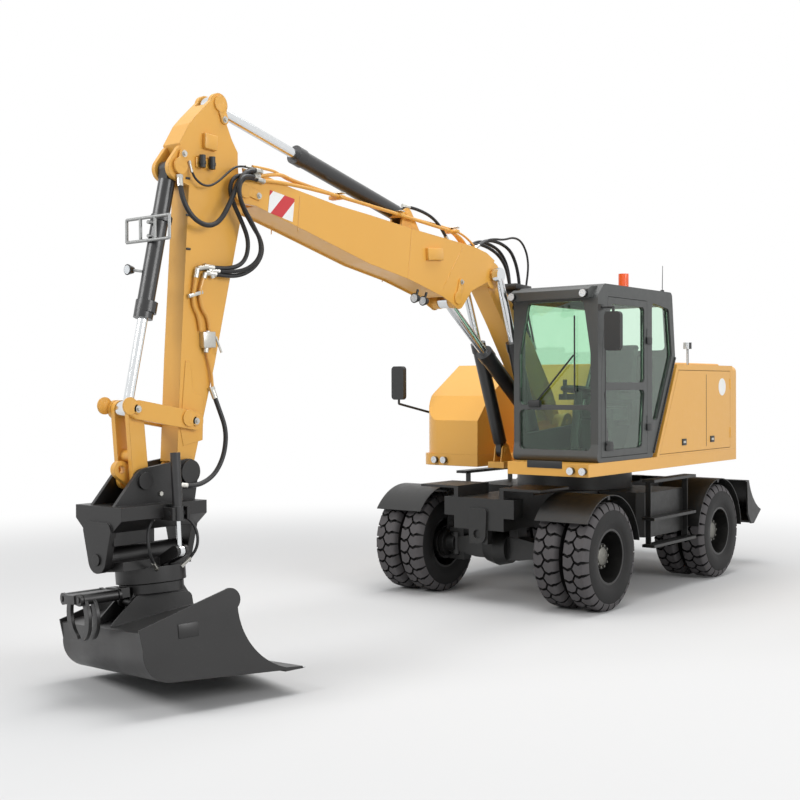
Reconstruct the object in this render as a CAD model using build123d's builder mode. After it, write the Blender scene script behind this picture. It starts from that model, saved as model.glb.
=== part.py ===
"""Wheeled excavator with a two-piece boom, a tiltrotator, twin tyres and a rear blade.

Frame: +X forward, +Y to the machine's left, +Z up, millimetres. The tyres stand on z = 0 and the
origin lies under the middle of the machine's box.
"""
import os
from math import atan2, cos, degrees, hypot, radians, sin

from build123d import *

os.makedirs("parts", exist_ok=True)

# ---------------------------------------------------------------- driving dimensions
swing_x = -2135          # slewing axis
front_axle_ahead = 1500  # front axle ahead of the slewing axis
wheelbase = 2600

tyre_radius = 527
tyre_width = 278
fender_gap = 65          # from a tyre's tread to its mudguard
outer_tyre_y = 1136      # middle of the outer tyre
inner_tyre_y = 811       # middle of the inner tyre
rim_radius = 262
king_pin_y = 560
king_pin_radius = 45
hub_bore = 60

ring_bottom = 1225       # slewing ring
ring_height = 45
seat_gap = 0.3           # between faces that move on each other
hinge_radius = 9
deck_bottom = 1320
deck_top = 1445
body_half = 1252         # half width of the superstructure
tail_radius = 2050
tail_corner = 90         # rounding where the tail meets the sides
deck_front = 1925        # front of the deck under the cab, ahead of the slewing axis
right_front = 1262       # front of the deck on the right
deck_corner = 200
body_top = 2410
slope_foot = 490         # the engine bay's sloping front, at the deck and at the top
slope_head = -6
bay_rear = -1480
panel = 40               # thickness of covers and doors

cab_right = 300
cab_left = 1246
cab_wall = 55
cab_front = 1722
cab_roof_z = 3165
cab_door_rear = 690
visor_front = 1795
pane = 6                 # thickness of the glass

pin_gap = 0.5            # a pin's clearance in its bore
side_gap = 6             # a boss's clearance between its ears
boom_plate = 12
upper_boom_half = 150
lower_boom_half = 105
stick_half = 92
stick_boss_half = stick_half + 7      # at the boom's nose
stick_tip_half = stick_half + 2
guide_half = stick_half + 9           # between the guide link plates
link_plate_half = guide_half + 33     # over the guide link plates
joint_pin_half = upper_boom_half + 15
lift_y = joint_pin_half + 50          # lift cylinders, either side of the boom

tilt_rest = 6.0          # the tiltrotator stands tilted and turned
turn_rest = -14.7
tilt_axis_z = 985
rotator_ahead = 6130
bucket_width = 1400
bucket_plate = 14


def ahead(distance):
    """X of a point a distance ahead of the slewing axis."""
    return swing_x + distance


def reach(pin, length, angle):
    """The point at a length and an angle above horizontal from a pin, in the XZ plane."""
    return pin[0] + length * cos(radians(angle)), pin[1] + length * sin(radians(angle))


def along(start, end, distance, offset):
    """A point so far from start towards end, and an offset to the left of that line."""
    length = hypot(end[0] - start[0], end[1] - start[1])
    ux, uz = (end[0] - start[0]) / length, (end[1] - start[1]) / length
    return start[0] + ux * distance - uz * offset, start[1] + uz * distance + ux * offset


front_axle_x = ahead(front_axle_ahead)
rear_axle_x = front_axle_x - wheelbase

# pins of the working equipment, as (x, z)
boom_foot = (ahead(560), 1780)
boom_joint = reach(boom_foot, 1994, 49.1)
lift_base = (ahead(1155), 1500)
adjust_base = along(boom_foot, boom_joint, 321, -226)
adjust_eye = reach(boom_joint, 652, -25.2)
stick_pivot = reach(boom_joint, 3470, 6.7)
stick_cyl_base = along(boom_joint, stick_pivot, 1330, 304)
stick_tip = reach(stick_pivot, 2201, -75.4)
stick_eye = along(stick_pivot, stick_tip, -562, 345)
bucket_cyl_base = along(stick_pivot, stick_tip, 67, 615)
guide_pivot = along(stick_pivot, stick_tip, 1823, 19)
link_top = reach(guide_pivot, 542, 9.6)
link_foot = reach(stick_tip, 414, -5.7)
blade_pivot = (rear_axle_x - 330, 650)
blade_cyl_base = (rear_axle_x - 480, 980)
blade_eye = (rear_axle_x - 960, 700)


# ---------------------------------------------------------------- shapes across the machine
def prism_y(outline, left, right, radius=0, mode=Mode.ADD):
    """An (x, z) outline carried from y = left to y = right."""
    with BuildSketch(Plane.XZ.offset(-left)) as profile:
        with BuildLine():
            if radius:
                FilletPolyline(*outline, radius=radius, close=True)
            else:
                Polyline(*outline, close=True)
        make_face()
    extrude(profile.sketch, amount=left - right, mode=mode)


def hull_y(circles, left, right, mode=Mode.ADD):
    """A plate round (x, z, radius) circles, from y = left to y = right."""
    with BuildSketch(Plane.XZ.offset(-left)) as profile:
        for x, z, radius in circles:
            with Locations((x, z)):
                Circle(radius)
        make_hull()
    extrude(profile.sketch, amount=left - right, mode=mode)


def disc_y(pin, radius, left, right, mode=Mode.ADD):
    """A boss, pin or bore round a pin's axis, from y = left to y = right."""
    with BuildSketch(Plane.XZ.offset(-left)) as profile:
        with Locations(pin):
            Circle(radius)
    extrude(profile.sketch, amount=left - right, mode=mode)


def prism_x(outline, front, back, radius=0, mode=Mode.ADD):
    """A (y, z) outline carried from x = front back to x = back."""
    with BuildSketch(Plane.YZ.offset(back)) as profile:
        with BuildLine():
            if radius:
                FilletPolyline(*outline, radius=radius, close=True)
            else:
                Polyline(*outline, close=True)
        make_face()
    extrude(profile.sketch, amount=front - back, mode=mode)


def prism_z(outline, bottom, top, radius=0, mode=Mode.ADD):
    """An (x, y) outline carried from z = bottom to z = top."""
    with BuildSketch(Plane.XY.offset(bottom)) as profile:
        with BuildLine():
            if radius:
                FilletPolyline(*outline, radius=radius, close=True)
            else:
                Polyline(*outline, close=True)
        make_face()
    extrude(profile.sketch, amount=top - bottom, mode=mode)


def disc_x(y, z, radius, front, back, mode=Mode.ADD):
    """A boss, pin or bore along x."""
    with BuildSketch(Plane.YZ.offset(back)) as profile:
        with Locations((y, z)):
            Circle(radius)
    extrude(profile.sketch, amount=front - back, mode=mode)


def hull_x(circles, front, back, mode=Mode.ADD):
    """A plate round (y, z, radius) circles, from x = front to x = back."""
    with BuildSketch(Plane.YZ.offset(back)) as profile:
        for y, z, radius in circles:
            with Locations((y, z)):
                Circle(radius)
        make_hull()
    extrude(profile.sketch, amount=front - back, mode=mode)


def disc_z(x, y, radius, bottom, top, mode=Mode.ADD):
    """A boss, pin or bore along z."""
    with BuildSketch(Plane.XY.offset(bottom)) as profile:
        with Locations((x, y)):
            Circle(radius)
    extrude(profile.sketch, amount=top - bottom, mode=mode)


def block(x, y, z, mode=Mode.ADD):
    """A box between (low, high) pairs."""
    prism_z([(x[0], y[0]), (x[1], y[0]), (x[1], y[1]), (x[0], y[1])], z[0], z[1], mode=mode)


def bar(start, end, radius, mode=Mode.ADD):
    """A round bar between two (x, y, z) points."""
    line = Vector(*end) - Vector(*start)
    with BuildSketch(Plane(origin=start, z_dir=line)) as profile:
        Circle(radius)
    extrude(profile.sketch, amount=line.length, mode=mode)


def finish(part, name):
    part.label = name
    export_step(part, f"parts/{name}.step")


# ---------------------------------------------------------------- hydraulic cylinders
cylinders = {  # barrel and rod radii, barrel length, rod length, eye half width, eye radius, pin radius, neck
    "lift": dict(barrel=70, rod=40, length=1217, rod_length=1205, half=32, eye=72, pin=40, neck=98),
    "adjust": dict(barrel=78, rod=45, length=1085, rod_length=1080, half=54, eye=72, pin=40, neck=88),
    "stick": dict(barrel=72, rod=42, length=1475, rod_length=1560, half=48, eye=70, pin=38, neck=100),
    "bucket": dict(barrel=62, rod=37, length=1135, rod_length=1250, half=48, eye=62, pin=34, neck=90),
    "blade": dict(barrel=48, rod=26, length=405, rod_length=420, half=30, eye=44, pin=26, neck=66),
}


def beside(base, eye, distance, y):
    """A point on a cylinder's axis at a distance from its base pin, as (x, y, z)."""
    x, z = along(base, eye, distance, 0)
    return x, y, z


def cylinder_barrel(kind, base, eye, y):
    """A barrel from its base pin towards its rod's eye, bored for the rod."""
    size = cylinders[kind]
    neck, length, half = size["neck"], size["length"], size["half"]
    hull_y([(*base, size["eye"]), (*along(base, eye, neck + 5, 0), size["barrel"] * 0.6)], y + half, y - half)
    bar(beside(base, eye, neck, y), beside(base, eye, length, y), size["barrel"])
    bar(beside(base, eye, length - 95, y), beside(base, eye, length, y), size["barrel"] + 8)
    bar(beside(base, eye, neck + 25, y), beside(base, eye, length - 60, y), size["rod"] + 1.5, mode=Mode.SUBTRACT)
    bar(beside(base, eye, length - 61, y), beside(base, eye, length + 10, y), size["rod"] + seat_gap,
        mode=Mode.SUBTRACT)
    disc_y(base, size["pin"] + pin_gap, y + half + 1, y - half - 1, mode=Mode.SUBTRACT)


def cylinder_rod(kind, base, eye, y):
    """A rod from its tail inside the barrel out to its eye."""
    size = cylinders[kind]
    reach_now = hypot(eye[0] - base[0], eye[1] - base[1])
    tail = reach_now - size["rod_length"]
    bar(beside(base, eye, tail, y), beside(base, eye, reach_now - size["eye"] * 0.5, y), size["rod"])
    disc_y(eye, size["eye"], y + size["half"], y - size["half"])


# ---------------------------------------------------------------- wheels
def tyre_section():
    """The half section of one tyre, as (radius, y) points."""
    half = tyre_width / 2
    return [(rim_radius, -half * 0.72), (rim_radius + 45, -half * 0.93), (rim_radius + 115, -half),
            (tyre_radius - 75, -half * 0.97), (tyre_radius - 30, -half * 0.86), (tyre_radius, -half * 0.7),
            (tyre_radius, half * 0.7), (tyre_radius - 30, half * 0.86), (tyre_radius - 75, half * 0.97),
            (rim_radius + 115, half), (rim_radius + 45, half * 0.93), (rim_radius, half * 0.72)]


def ring_of_revolution(axle_x, rows, side):
    """Rows of (radius, y) turned round a wheel's axle; side is 1 on the left, -1 on the right."""
    plane = Plane(origin=(axle_x, 0, tyre_radius), x_dir=(1, 0, 0), z_dir=(0, 0, 1))
    with BuildSketch(plane) as profile:
        with BuildLine():
            Polyline(*[(radius, side * y) for radius, y in rows], close=True)
        make_face()
    axis = Axis((axle_x, 0, tyre_radius), (0, 1, 0))
    revolve(profile.sketch, axis=axis)


wheels = [  # corner, axle x, side
    ("front_left", front_axle_x, 1),
    ("front_right", front_axle_x, -1),
    ("rear_left", rear_axle_x, 1),
    ("rear_right", rear_axle_x, -1),
]
hub_inner_y = 700
rim_split_y = (outer_tyre_y + inner_tyre_y) / 2
for corner, axle_x, side in wheels:
    with BuildPart() as tyres:
        for middle in (inner_tyre_y, outer_tyre_y):
            ring_of_revolution(axle_x, [(r, middle + y) for r, y in tyre_section()], side)
    finish(tyres.part, f"{corner}_tyres")

    seat = rim_radius - 0.3
    lip = rim_radius + 14
    with BuildPart() as rims:
        for middle, outward in ((outer_tyre_y, 1), (inner_tyre_y, -1)):
            far = middle + outward * 118
            near = rim_split_y + outward * 0.5
            ring_of_revolution(axle_x, [
                (150, near), (seat, near), (seat, far - outward * 8), (lip, far - outward * 6),
                (lip, far), (seat - 12, far), (seat - 12, near + outward * 60), (seat - 30, near + outward * 14),
                (150, near + outward * 14)], side)
        ring_of_revolution(axle_x, [
            (hub_bore, hub_inner_y), (175, hub_inner_y), (175, 820), (151, 835), (151, 1090), (125, 1120),
            (125, 1158), (0.001, 1158), (0.001, 1080), (hub_bore, 1080)], side)
    finish(rims.part, f"{corner}_wheels")

# ---------------------------------------------------------------- axles and steering knuckles
spindle_radius = hub_bore - 0.06
axle_z = tyre_radius


def spindle(axle_x, side, inner):
    """The stub that a hub turns on, with the brake flange behind it."""
    ring_of_revolution(axle_x, [(0.001, inner), (98, inner), (98, king_pin_y + 75), (150, king_pin_y + 85),
                                (150, hub_inner_y - 8),
                                (spindle_radius, hub_inner_y - 8), (spindle_radius, 1060), (0.001, 1060)], side)


def axle_beam(axle_x, half):
    """A cast axle: tapered beam and the bowl of the differential."""
    prism_x([(-half, axle_z - 75), (-260, axle_z - 115), (260, axle_z - 115), (half, axle_z - 75),
             (half, axle_z + 75), (260, axle_z + 115), (-260, axle_z + 115), (-half, axle_z + 75)],
            axle_x + 85, axle_x - 85)
    with BuildSketch(Plane.XZ.offset(0)) as bowl:
        with Locations((axle_x, axle_z)):
            Circle(190)
    extrude(bowl.sketch, amount=130, both=True, taper=14)


with BuildPart() as front_axle:
    axle_beam(front_axle_x, king_pin_y - 70)
    for side in (1, -1):
        for z in (1, -1):
            y_low, y_high = sorted((side * (king_pin_y - 75), side * (king_pin_y + 55)))
            z_low, z_high = sorted((axle_z + z * 120, axle_z + z * 165))
            block((front_axle_x - 60, front_axle_x + 60), (y_low, y_high), (z_low, z_high))
            y_in, y_out = sorted((side * (king_pin_y - 125), side * (king_pin_y - 70)))
            z_in, z_out = sorted((axle_z + z * 20, axle_z + z * 165))
            block((front_axle_x - 60, front_axle_x + 60), (y_in, y_out), (z_in, z_out))
    for side in (1, -1):
        for z in (1, -1):
            z_low, z_high = sorted((axle_z + z * 90, axle_z + z * 170))
            with BuildSketch(Plane.XY.offset(z_low)) as pin_bore:
                with Locations((front_axle_x, side * king_pin_y)):
                    Circle(king_pin_radius + pin_gap)
            extrude(pin_bore.sketch, amount=z_high - z_low, mode=Mode.SUBTRACT)
finish(front_axle.part, "front_axle")

with BuildPart() as rear_axle:
    axle_beam(rear_axle_x, 640)
    for side in (1, -1):
        spindle(rear_axle_x, side, 600)
finish(rear_axle.part, "rear_axle")

fender_radius = tyre_radius + fender_gap
shelf_top = axle_z + fender_radius - 0.6  # shelves that carry the mudguards
for corner, axle_x, side in wheels[:2]:
    with BuildPart() as knuckle:
        spindle(axle_x, side, king_pin_y - 15)
        with BuildSketch(Plane.XY.offset(axle_z - 116)) as body:
            with Locations((axle_x, side * king_pin_y)):
                Circle(64)
        extrude(body.sketch, amount=232)
        with BuildSketch(Plane.XY.offset(axle_z - 164)) as king_pin:
            with Locations((axle_x, side * king_pin_y)):
                Circle(king_pin_radius)
        extrude(king_pin.sketch, amount=328)
        arm_y = sorted((side * (king_pin_y - 10), side * (king_pin_y + 40)))
        block((axle_x - 250, axle_x - 20), arm_y, (axle_z - 30, axle_z + 10))
        block((axle_x - 45, axle_x + 45), sorted((side * 645, side * 660)), (axle_z - 40, shelf_top - 40))
        block((axle_x - 20, axle_x + 20), sorted((side * 645, side * 1240)), (shelf_top - 40, shelf_top))
    finish(knuckle.part, f"{corner}_knuckle")


def fender_shell(axle_x, side, front_end, rear_end):
    """A mudguard: a bent sheet over a wheel pair, between angles from its front to its rear end."""
    outer = fender_radius
    with BuildSketch(Plane.XZ.offset(-side * 1268 if side > 0 else 690)) as profile:
        with BuildLine():
            a0, a1 = radians(front_end), radians(rear_end)
            CenterArc((axle_x, axle_z), outer, front_end, rear_end - front_end)
            CenterArc((axle_x, axle_z), outer + 8, front_end, rear_end - front_end)
            Line((axle_x + outer * cos(a0), axle_z + outer * sin(a0)),
                 (axle_x + (outer + 8) * cos(a0), axle_z + (outer + 8) * sin(a0)))
            Line((axle_x + outer * cos(a1), axle_z + outer * sin(a1)),
                 (axle_x + (outer + 8) * cos(a1), axle_z + (outer + 8) * sin(a1)))
        make_face()
    extrude(profile.sketch, amount=1268 - 690)


for corner, axle_x, side in wheels[:2]:
    with BuildPart() as fender:
        fender_shell(axle_x, side, 37, 170)
    finish(fender.part, f"{corner}_fender")
with BuildPart() as rear_fenders:
    for corner, axle_x, side in wheels[2:]:
        fender_shell(axle_x, side, 10, 178)
finish(rear_fenders.part, "rear_fenders")

# ---------------------------------------------------------------- chassis
frame_bottom = axle_z + 215
frame_top = 1060
with BuildPart() as chassis:
    prism_z([(rear_axle_x - 420, -300), (rear_axle_x + 500, -300), (swing_x - 400, -560), (swing_x + 400, -560),
             (front_axle_x - 560, -300), (front_axle_x + 420, -300), (front_axle_x + 420, 300),
             (front_axle_x - 560, 300), (swing_x + 400, 560), (swing_x - 400, 560), (rear_axle_x + 500, 300),
             (rear_axle_x - 420, 300)], frame_bottom, frame_top)
    with BuildSketch(Plane.XY.offset(frame_top)) as tower:
        with Locations((swing_x, 0)):
            Circle(640)
    extrude(tower.sketch, amount=ring_bottom - frame_top)
    with BuildSketch(Plane.XY.offset(ring_bottom)) as lower_ring:
        with Locations((swing_x, 0)):
            Circle(600)
            Circle(480, mode=Mode.SUBTRACT)
    extrude(lower_ring.sketch, amount=ring_height)
    for axle_x in (front_axle_x, rear_axle_x):
        for side in (1, -1):
            block((axle_x - 80, axle_x + 80), sorted((side * 150, side * 255)), (axle_z + 115, frame_bottom))
    block((front_axle_x + 250, front_axle_x + 420), (-420, 420), (870, 1060))
    hull_x([(0, 700, 100), (-70, 920, 40), (70, 920, 40)], front_axle_x + 445, front_axle_x + 421)
    disc_x(0, 700, 45, front_axle_x + 446, front_axle_x + 380, mode=Mode.SUBTRACT)
    block((front_axle_x + 330, front_axle_x + 421), (-110, 110), (600, frame_bottom))
    for side in (1, -1):
        block((front_axle_x - 140, front_axle_x + 420), sorted((side * 300, side * 720)), (1148, 1172))
        block((front_axle_x - 140, front_axle_x + 420), sorted((side * 250, side * 300)), (frame_top, 1172))
        for inner, outer in ((225, 244), (276, 300)):
            lug_y = sorted((side * inner, side * outer))
            hull_y([(*blade_pivot, 70), (blade_pivot[0] - 30, 790, 60), (blade_pivot[0] + 80, 790, 60)],
                   lug_y[1], lug_y[0])
            disc_y(blade_pivot, 35 + pin_gap, lug_y[1] + 1, lug_y[0] - 1, mode=Mode.SUBTRACT)
        for inner, outer in ((90, 108), (172, 190)):
            lug_y = sorted((side * inner, side * outer))
            hull_y([(*blade_cyl_base, 55), (blade_cyl_base[0] + 90, 930, 50), (blade_cyl_base[0] + 90, 1000, 50)],
                   lug_y[1], lug_y[0])
        pin_y = sorted((side * 84, side * 196))
        disc_y(blade_cyl_base, cylinders["blade"]["pin"], pin_y[1], pin_y[0])
        block((rear_axle_x - 60, rear_axle_x + 60), sorted((side * 180, side * 290)), (frame_top, shelf_top))
        block((rear_axle_x - 20, rear_axle_x + 20), sorted((side * 290, side * 1240)), (shelf_top - 40, shelf_top))
finish(chassis.part, "chassis_frame")

# ---------------------------------------------------------------- boxes and steps between the wheels
box_front, box_rear = ahead(450), ahead(-430)
tread_front, tread_rear = ahead(540), ahead(-480)
tread_levels = (505, 785, 1180)
with BuildPart() as side_steps:
    for side in (1, -1):
        y_in, y_out = side * 560, side * 1110
        corner = 120
        prism_z([(box_rear, y_in), (box_front, y_in), (box_front, y_out - side * corner),
                 (box_front - corner * 0.3, y_out - side * corner * 0.3), (box_front - corner, y_out),
                 (box_rear, y_out)], 590, frame_top)
        for z in tread_levels:
            block((tread_rear, tread_front), sorted((y_out, side * 1250)), (z, z + 30))
        for x in (tread_front - 90, tread_rear + 40):
            block((x, x + 12), sorted((y_out, y_out + side * 60)), (tread_levels[0], tread_levels[2]))
finish(side_steps.part, "side_steps")

# ---------------------------------------------------------------- rear blade
blade_half = 1200
blade_pin_radius = 35
blade_cyl_y = 140


def behind(distance):
    """X of a point a distance behind the rear axle."""
    return rear_axle_x - distance


with BuildPart() as blade:
    with BuildSketch(Plane.XZ) as face_profile:
        with BuildLine():
            ThreePointArc((behind(1016), 1038), (behind(1163), 801), (behind(1400), 655))
            Line((behind(1400), 655), (behind(1173), 503))
            Line((behind(1173), 503), (behind(1150), 528))
            Line((behind(1150), 528), (behind(1350), 662))
            ThreePointArc((behind(1350), 662), (behind(1140), 798), (behind(994), 1030))
            Line((behind(994), 1030), (behind(1016), 1038))
        make_face()
    extrude(face_profile.sketch, amount=blade_half - 20, both=True)
    for side in (1, -1):
        with BuildSketch(Plane.XZ.offset(-side * (blade_half - 10) - 10)) as end_plate:
            with BuildLine():
                ThreePointArc((behind(1016), 1038), (behind(1163), 801), (behind(1400), 655))
                Polyline((behind(1400), 655), (behind(1173), 503), (behind(1090), 506), (behind(985), 640),
                         (behind(960), 1020), (behind(1016), 1038))
            make_face()
        extrude(end_plate.sketch, amount=20)
        arm_y = sorted((side * 250, side * 270))
        hull_y([(*blade_pivot, 60), (behind(560), 620, 60)], arm_y[1], arm_y[0])
        hull_y([(behind(560), 620, 60), (behind(1080), 640, 70)], arm_y[1], arm_y[0])
        pin_y = sorted((side * 210, side * 315))
        disc_y(blade_pivot, blade_pin_radius, pin_y[1], pin_y[0])
        for inner, outer in ((90, 108), (172, 190)):
            lug_y = sorted((side * inner, side * outer))
            hull_y([(*blade_eye, 45), (behind(1120), 700, 45), (behind(1120), 640, 40)], lug_y[1], lug_y[0])
    block((behind(1120), behind(1060)), (-700, 700), (600, 680))
    for y in (-700, -261, -99, 99, 261, 700):
        prism_y([(behind(1050), 600), (behind(1175), 520), (behind(1345), 655), (behind(1145), 800),
                 (behind(1040), 920), (behind(1030), 700)], y + 9, y - 9)
finish(blade.part, "blade")

with BuildPart() as blade_barrels:
    for side in (1, -1):
        cylinder_barrel("blade", blade_cyl_base, blade_eye, side * blade_cyl_y)
finish(blade_barrels.part, "blade_cylinder_barrels")
with BuildPart() as blade_rods:
    for side in (1, -1):
        cylinder_rod("blade", blade_cyl_base, blade_eye, side * blade_cyl_y)
finish(blade_rods.part, "blade_cylinder_rods")

# ---------------------------------------------------------------- hinge knuckles
knuckle_length = 60
hinge_offset = 2.5       # from a leaf's edge to its hinge line


def hinge_knuckles(x, y, levels, carries):
    """Knuckles on an upright hinge line: the leaf has the lower one of each pair, its frame the upper one."""
    for z in levels:
        own, other = (z + knuckle_length, z) if carries else (z, z + knuckle_length)
        disc_z(x, y, hinge_radius + seat_gap, other - seat_gap, other + knuckle_length + seat_gap,
               mode=Mode.SUBTRACT)
        disc_z(x, y, hinge_radius, own + seat_gap / 2, own + knuckle_length - seat_gap / 2)


def hood_knuckles(x, z, spans, carries):
    """Knuckles on the hood's hinge line, across the machine."""
    for y in spans:
        own, other = (y + knuckle_length, y) if carries else (y, y + knuckle_length)
        disc_y((x, z), hinge_radius + seat_gap, other + knuckle_length + seat_gap, other - seat_gap,
               mode=Mode.SUBTRACT)
        disc_y((x, z), hinge_radius, own + knuckle_length - seat_gap / 2, own + seat_gap / 2)


# ---------------------------------------------------------------- superstructure
boom_ear_y = 205
with BuildPart() as upper_frame:
    block((ahead(-tail_radius), ahead(right_front)), (-body_half, body_half), (deck_bottom, deck_top))
    disc_z(swing_x, 0, tail_radius, deck_bottom, deck_top, mode=Mode.INTERSECT)
    fillet(upper_frame.edges().filter_by(Axis.Z).group_by(Axis.X)[0], tail_corner)
    fillet(upper_frame.edges().filter_by(Axis.Z).group_by(Axis.X)[-1].sort_by(Axis.Y)[0], deck_corner)
    block((ahead(1200), ahead(deck_front)), (353, body_half), (deck_bottom, deck_top))
    block((ahead(900), ahead(1400)), (-459, 352), (deck_bottom, deck_top + 1), mode=Mode.SUBTRACT)
    block((ahead(640), ahead(1260)), (-boom_ear_y, boom_ear_y), (deck_top - 60, deck_top + 1), mode=Mode.SUBTRACT)
    block((ahead(880), ahead(1300)), (-300, 300), (deck_bottom, deck_top - 60))
    slot = cylinders["adjust"]["barrel"] + 22  # the adjusting cylinder passes between the front plates
    block((ahead(860), ahead(1301)), (-slot, slot), (deck_bottom - 1, deck_top - 59), mode=Mode.SUBTRACT)
    with BuildSketch(Plane.XY.offset(ring_bottom + ring_height + seat_gap)) as upper_ring:
        with Locations((swing_x, 0)):
            Circle(570)
    extrude(upper_ring.sketch, amount=deck_bottom - ring_bottom - ring_height - seat_gap)
    for side in (1, -1):
        ear_y = sorted((side * boom_ear_y, side * (boom_ear_y + 35)))
        hull_y([(*boom_foot, 110), (ahead(slope_foot + 55), deck_top - 30, 40), (ahead(880), deck_top - 30, 40)],
               ear_y[1], ear_y[0])
        disc_y(boom_foot, 50, ear_y[1] + 15 * (side > 0), ear_y[0] - 15 * (side < 0))
        disc_y(boom_foot, 45 + pin_gap, ear_y[1] + 20, ear_y[0] - 20, mode=Mode.SUBTRACT)
        for inner, outer in ((lift_y - 50, lift_y - 38), (lift_y + 38, lift_y + 50)):
            lug_y = sorted((side * inner, side * outer))
            hull_y([(*lift_base, 72), (lift_base[0] - 110, deck_top - 95, 30), (lift_base[0] + 70, deck_top - 95, 30)],
                   lug_y[1], lug_y[0])
        pin_y = sorted((side * (lift_y - 60), side * (lift_y + 60)))
        disc_y(lift_base, cylinders["lift"]["pin"], pin_y[1], pin_y[0])
finish(upper_frame.part, "upper_frame")

with BuildPart() as counterweight:
    block((ahead(-tail_radius), ahead(bay_rear)), (-body_half, body_half), (deck_top, body_top))
    disc_z(swing_x, 0, tail_radius, deck_top, body_top, mode=Mode.INTERSECT)
    fillet(counterweight.edges().filter_by(Axis.Z).group_by(Axis.X)[0], tail_corner)
    fillet(counterweight.faces().sort_by(Axis.Z)[-1].edges().filter_by(GeomType.CIRCLE), tail_corner - 20)
finish(counterweight.part, "counterweight")


def slope_x(z):
    """The sloping line between the cab and the engine bay."""
    return ahead(slope_foot + (slope_head - slope_foot) * (z - deck_top) / (body_top - deck_top))


bay_inner = panel + 5
door_low, door_high = deck_top + 20, body_top - 60
door_hinge_x = ahead(bay_rear) + 65 - hinge_offset
door_hinge_levels = (1580, 2140)
hood_hinge = (ahead(-155) + hinge_offset, body_top + 25)
hood_hinge_spans = (-700, 580)
with BuildPart() as bay:
    prism_y([(ahead(bay_rear), deck_top), (slope_x(deck_top), deck_top), (slope_x(body_top), body_top),
             (ahead(bay_rear), body_top)], body_half, -body_half)
    prism_y([(ahead(bay_rear) + bay_inner, deck_top + 15), (slope_x(deck_top) - bay_inner, deck_top + 15),
             (slope_x(body_top) - bay_inner, body_top - 30), (ahead(bay_rear) + bay_inner, body_top - 30)],
            body_half - bay_inner, -body_half + bay_inner, mode=Mode.SUBTRACT)
    opening = [(ahead(bay_rear) + 60, door_low), (slope_x(door_low) - 60, door_low),
               (slope_x(door_high) - 60, door_high), (ahead(bay_rear) + 60, door_high)]
    prism_y(opening, body_half + 1, body_half - bay_inner - 1, mode=Mode.SUBTRACT)
    prism_y(opening, -body_half + bay_inner + 1, -body_half - 1, mode=Mode.SUBTRACT)
    block((ahead(bay_rear) + 90, ahead(-150)), (-body_half + 120, body_half - 120), (body_top - 60, body_top + 5),
          mode=Mode.SUBTRACT)
    for side in (1, -1):
        hinge_knuckles(door_hinge_x, side * body_half, door_hinge_levels, carries=True)
    for y in hood_hinge_spans:
        block((hood_hinge[0] + hinge_offset, hood_hinge[0] + 16), (y + knuckle_length + 5, y + 2 * knuckle_length - 5),
              (body_top, hood_hinge[1]))
    hood_knuckles(*hood_hinge, hood_hinge_spans, carries=True)
finish(bay.part, "engine_bay")

for name, left, right in (("left_service_door", body_half, body_half - panel),
                          ("right_service_door", -body_half + panel, -body_half)):
    with BuildPart() as door:
        prism_y([(ahead(bay_rear) + 65, door_low + 5), (slope_x(door_low) - 66, door_low + 5),
                 (slope_x(door_high) - 66, door_high - 5), (ahead(bay_rear) + 65, door_high - 5)], left, right)
        hinge_knuckles(door_hinge_x, left if left > 0 else right, door_hinge_levels, carries=False)
    finish(door.part, name)
with BuildPart() as hood:
    block((ahead(bay_rear) + 95, ahead(-155)), (-body_half + 125, body_half - 125), (body_top - 30, body_top + 25))
    fillet(hood.faces().sort_by(Axis.Z)[-1].edges(), 18)
    hood_knuckles(*hood_hinge, hood_hinge_spans, carries=False)
finish(hood.part, "engine_hood")
with BuildPart() as engine:
    block((ahead(-1250), ahead(-250)), (-650, 500), (deck_top + 15, 2150))
finish(engine.part, "engine_block")

with BuildPart() as right_box:
    prism_y([(slope_x(deck_top) + 1, deck_top), (ahead(right_front), deck_top), (ahead(right_front - 6), 1814),
             (ahead(1020), 2080), (ahead(473), body_top + 15), (slope_x(body_top) + 1, body_top + 15)],
            -460, -body_half)
    with BuildSketch(Plane.XY.offset(deck_top)) as plan:
        with Locations((ahead(right_front - 1000), -body_half + 500)):
            Rectangle(2000, 1000)
        fillet(plan.vertices().group_by(Axis.X)[-1].sort_by(Axis.Y)[0], 300)
    extrude(plan.sketch, amount=body_top + 20 - deck_top, mode=Mode.INTERSECT)
finish(right_box.part, "right_storage_box")

# ---------------------------------------------------------------- cab
cab_outline = [(ahead(cab_front + 30), deck_top), (ahead(cab_front), 1620), (ahead(cab_front), 3050),
               (ahead(1590), cab_roof_z), (ahead(108), cab_roof_z), (ahead(33), 2490), (ahead(575), deck_top)]
cab_inner = [(ahead(cab_front - 60), deck_top + 60), (ahead(cab_front - 60), 3030), (ahead(1530), cab_roof_z - 70),
             (ahead(108 + 62), cab_roof_z - 70), (ahead(33 + 64), 2495), (ahead(575 + 52), deck_top + 60)]
door_outline = [(ahead(cab_door_rear), 1490), (ahead(1668), 1490), (ahead(1664), 2150), (ahead(1632), 2620),
                (ahead(1515), 3045), (ahead(cab_door_rear), 3045)]
cab_door_hinge_x = ahead(cab_door_rear + 5) - hinge_offset
cab_door_levels = (1760, 2640)
door_windows = (
    [(ahead(752), 2215), (ahead(1590), 2215), (ahead(1563), 2600), (ahead(1458), 2975), (ahead(752), 2975)],
    [(ahead(815), 1560), (ahead(1500), 1560), (ahead(1612), 2140), (ahead(748), 2140)])
quarter_window = [(ahead(580), 3035), (ahead(185), 2985), (ahead(112), 2500), (ahead(455), 1830), (ahead(580), 1830)]
side_window = [(ahead(180), 3010), (ahead(118), 2500), (ahead(480), 1780), (ahead(1590), 1700), (ahead(1590), 2900),
               (ahead(1500), 3010)]
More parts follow.
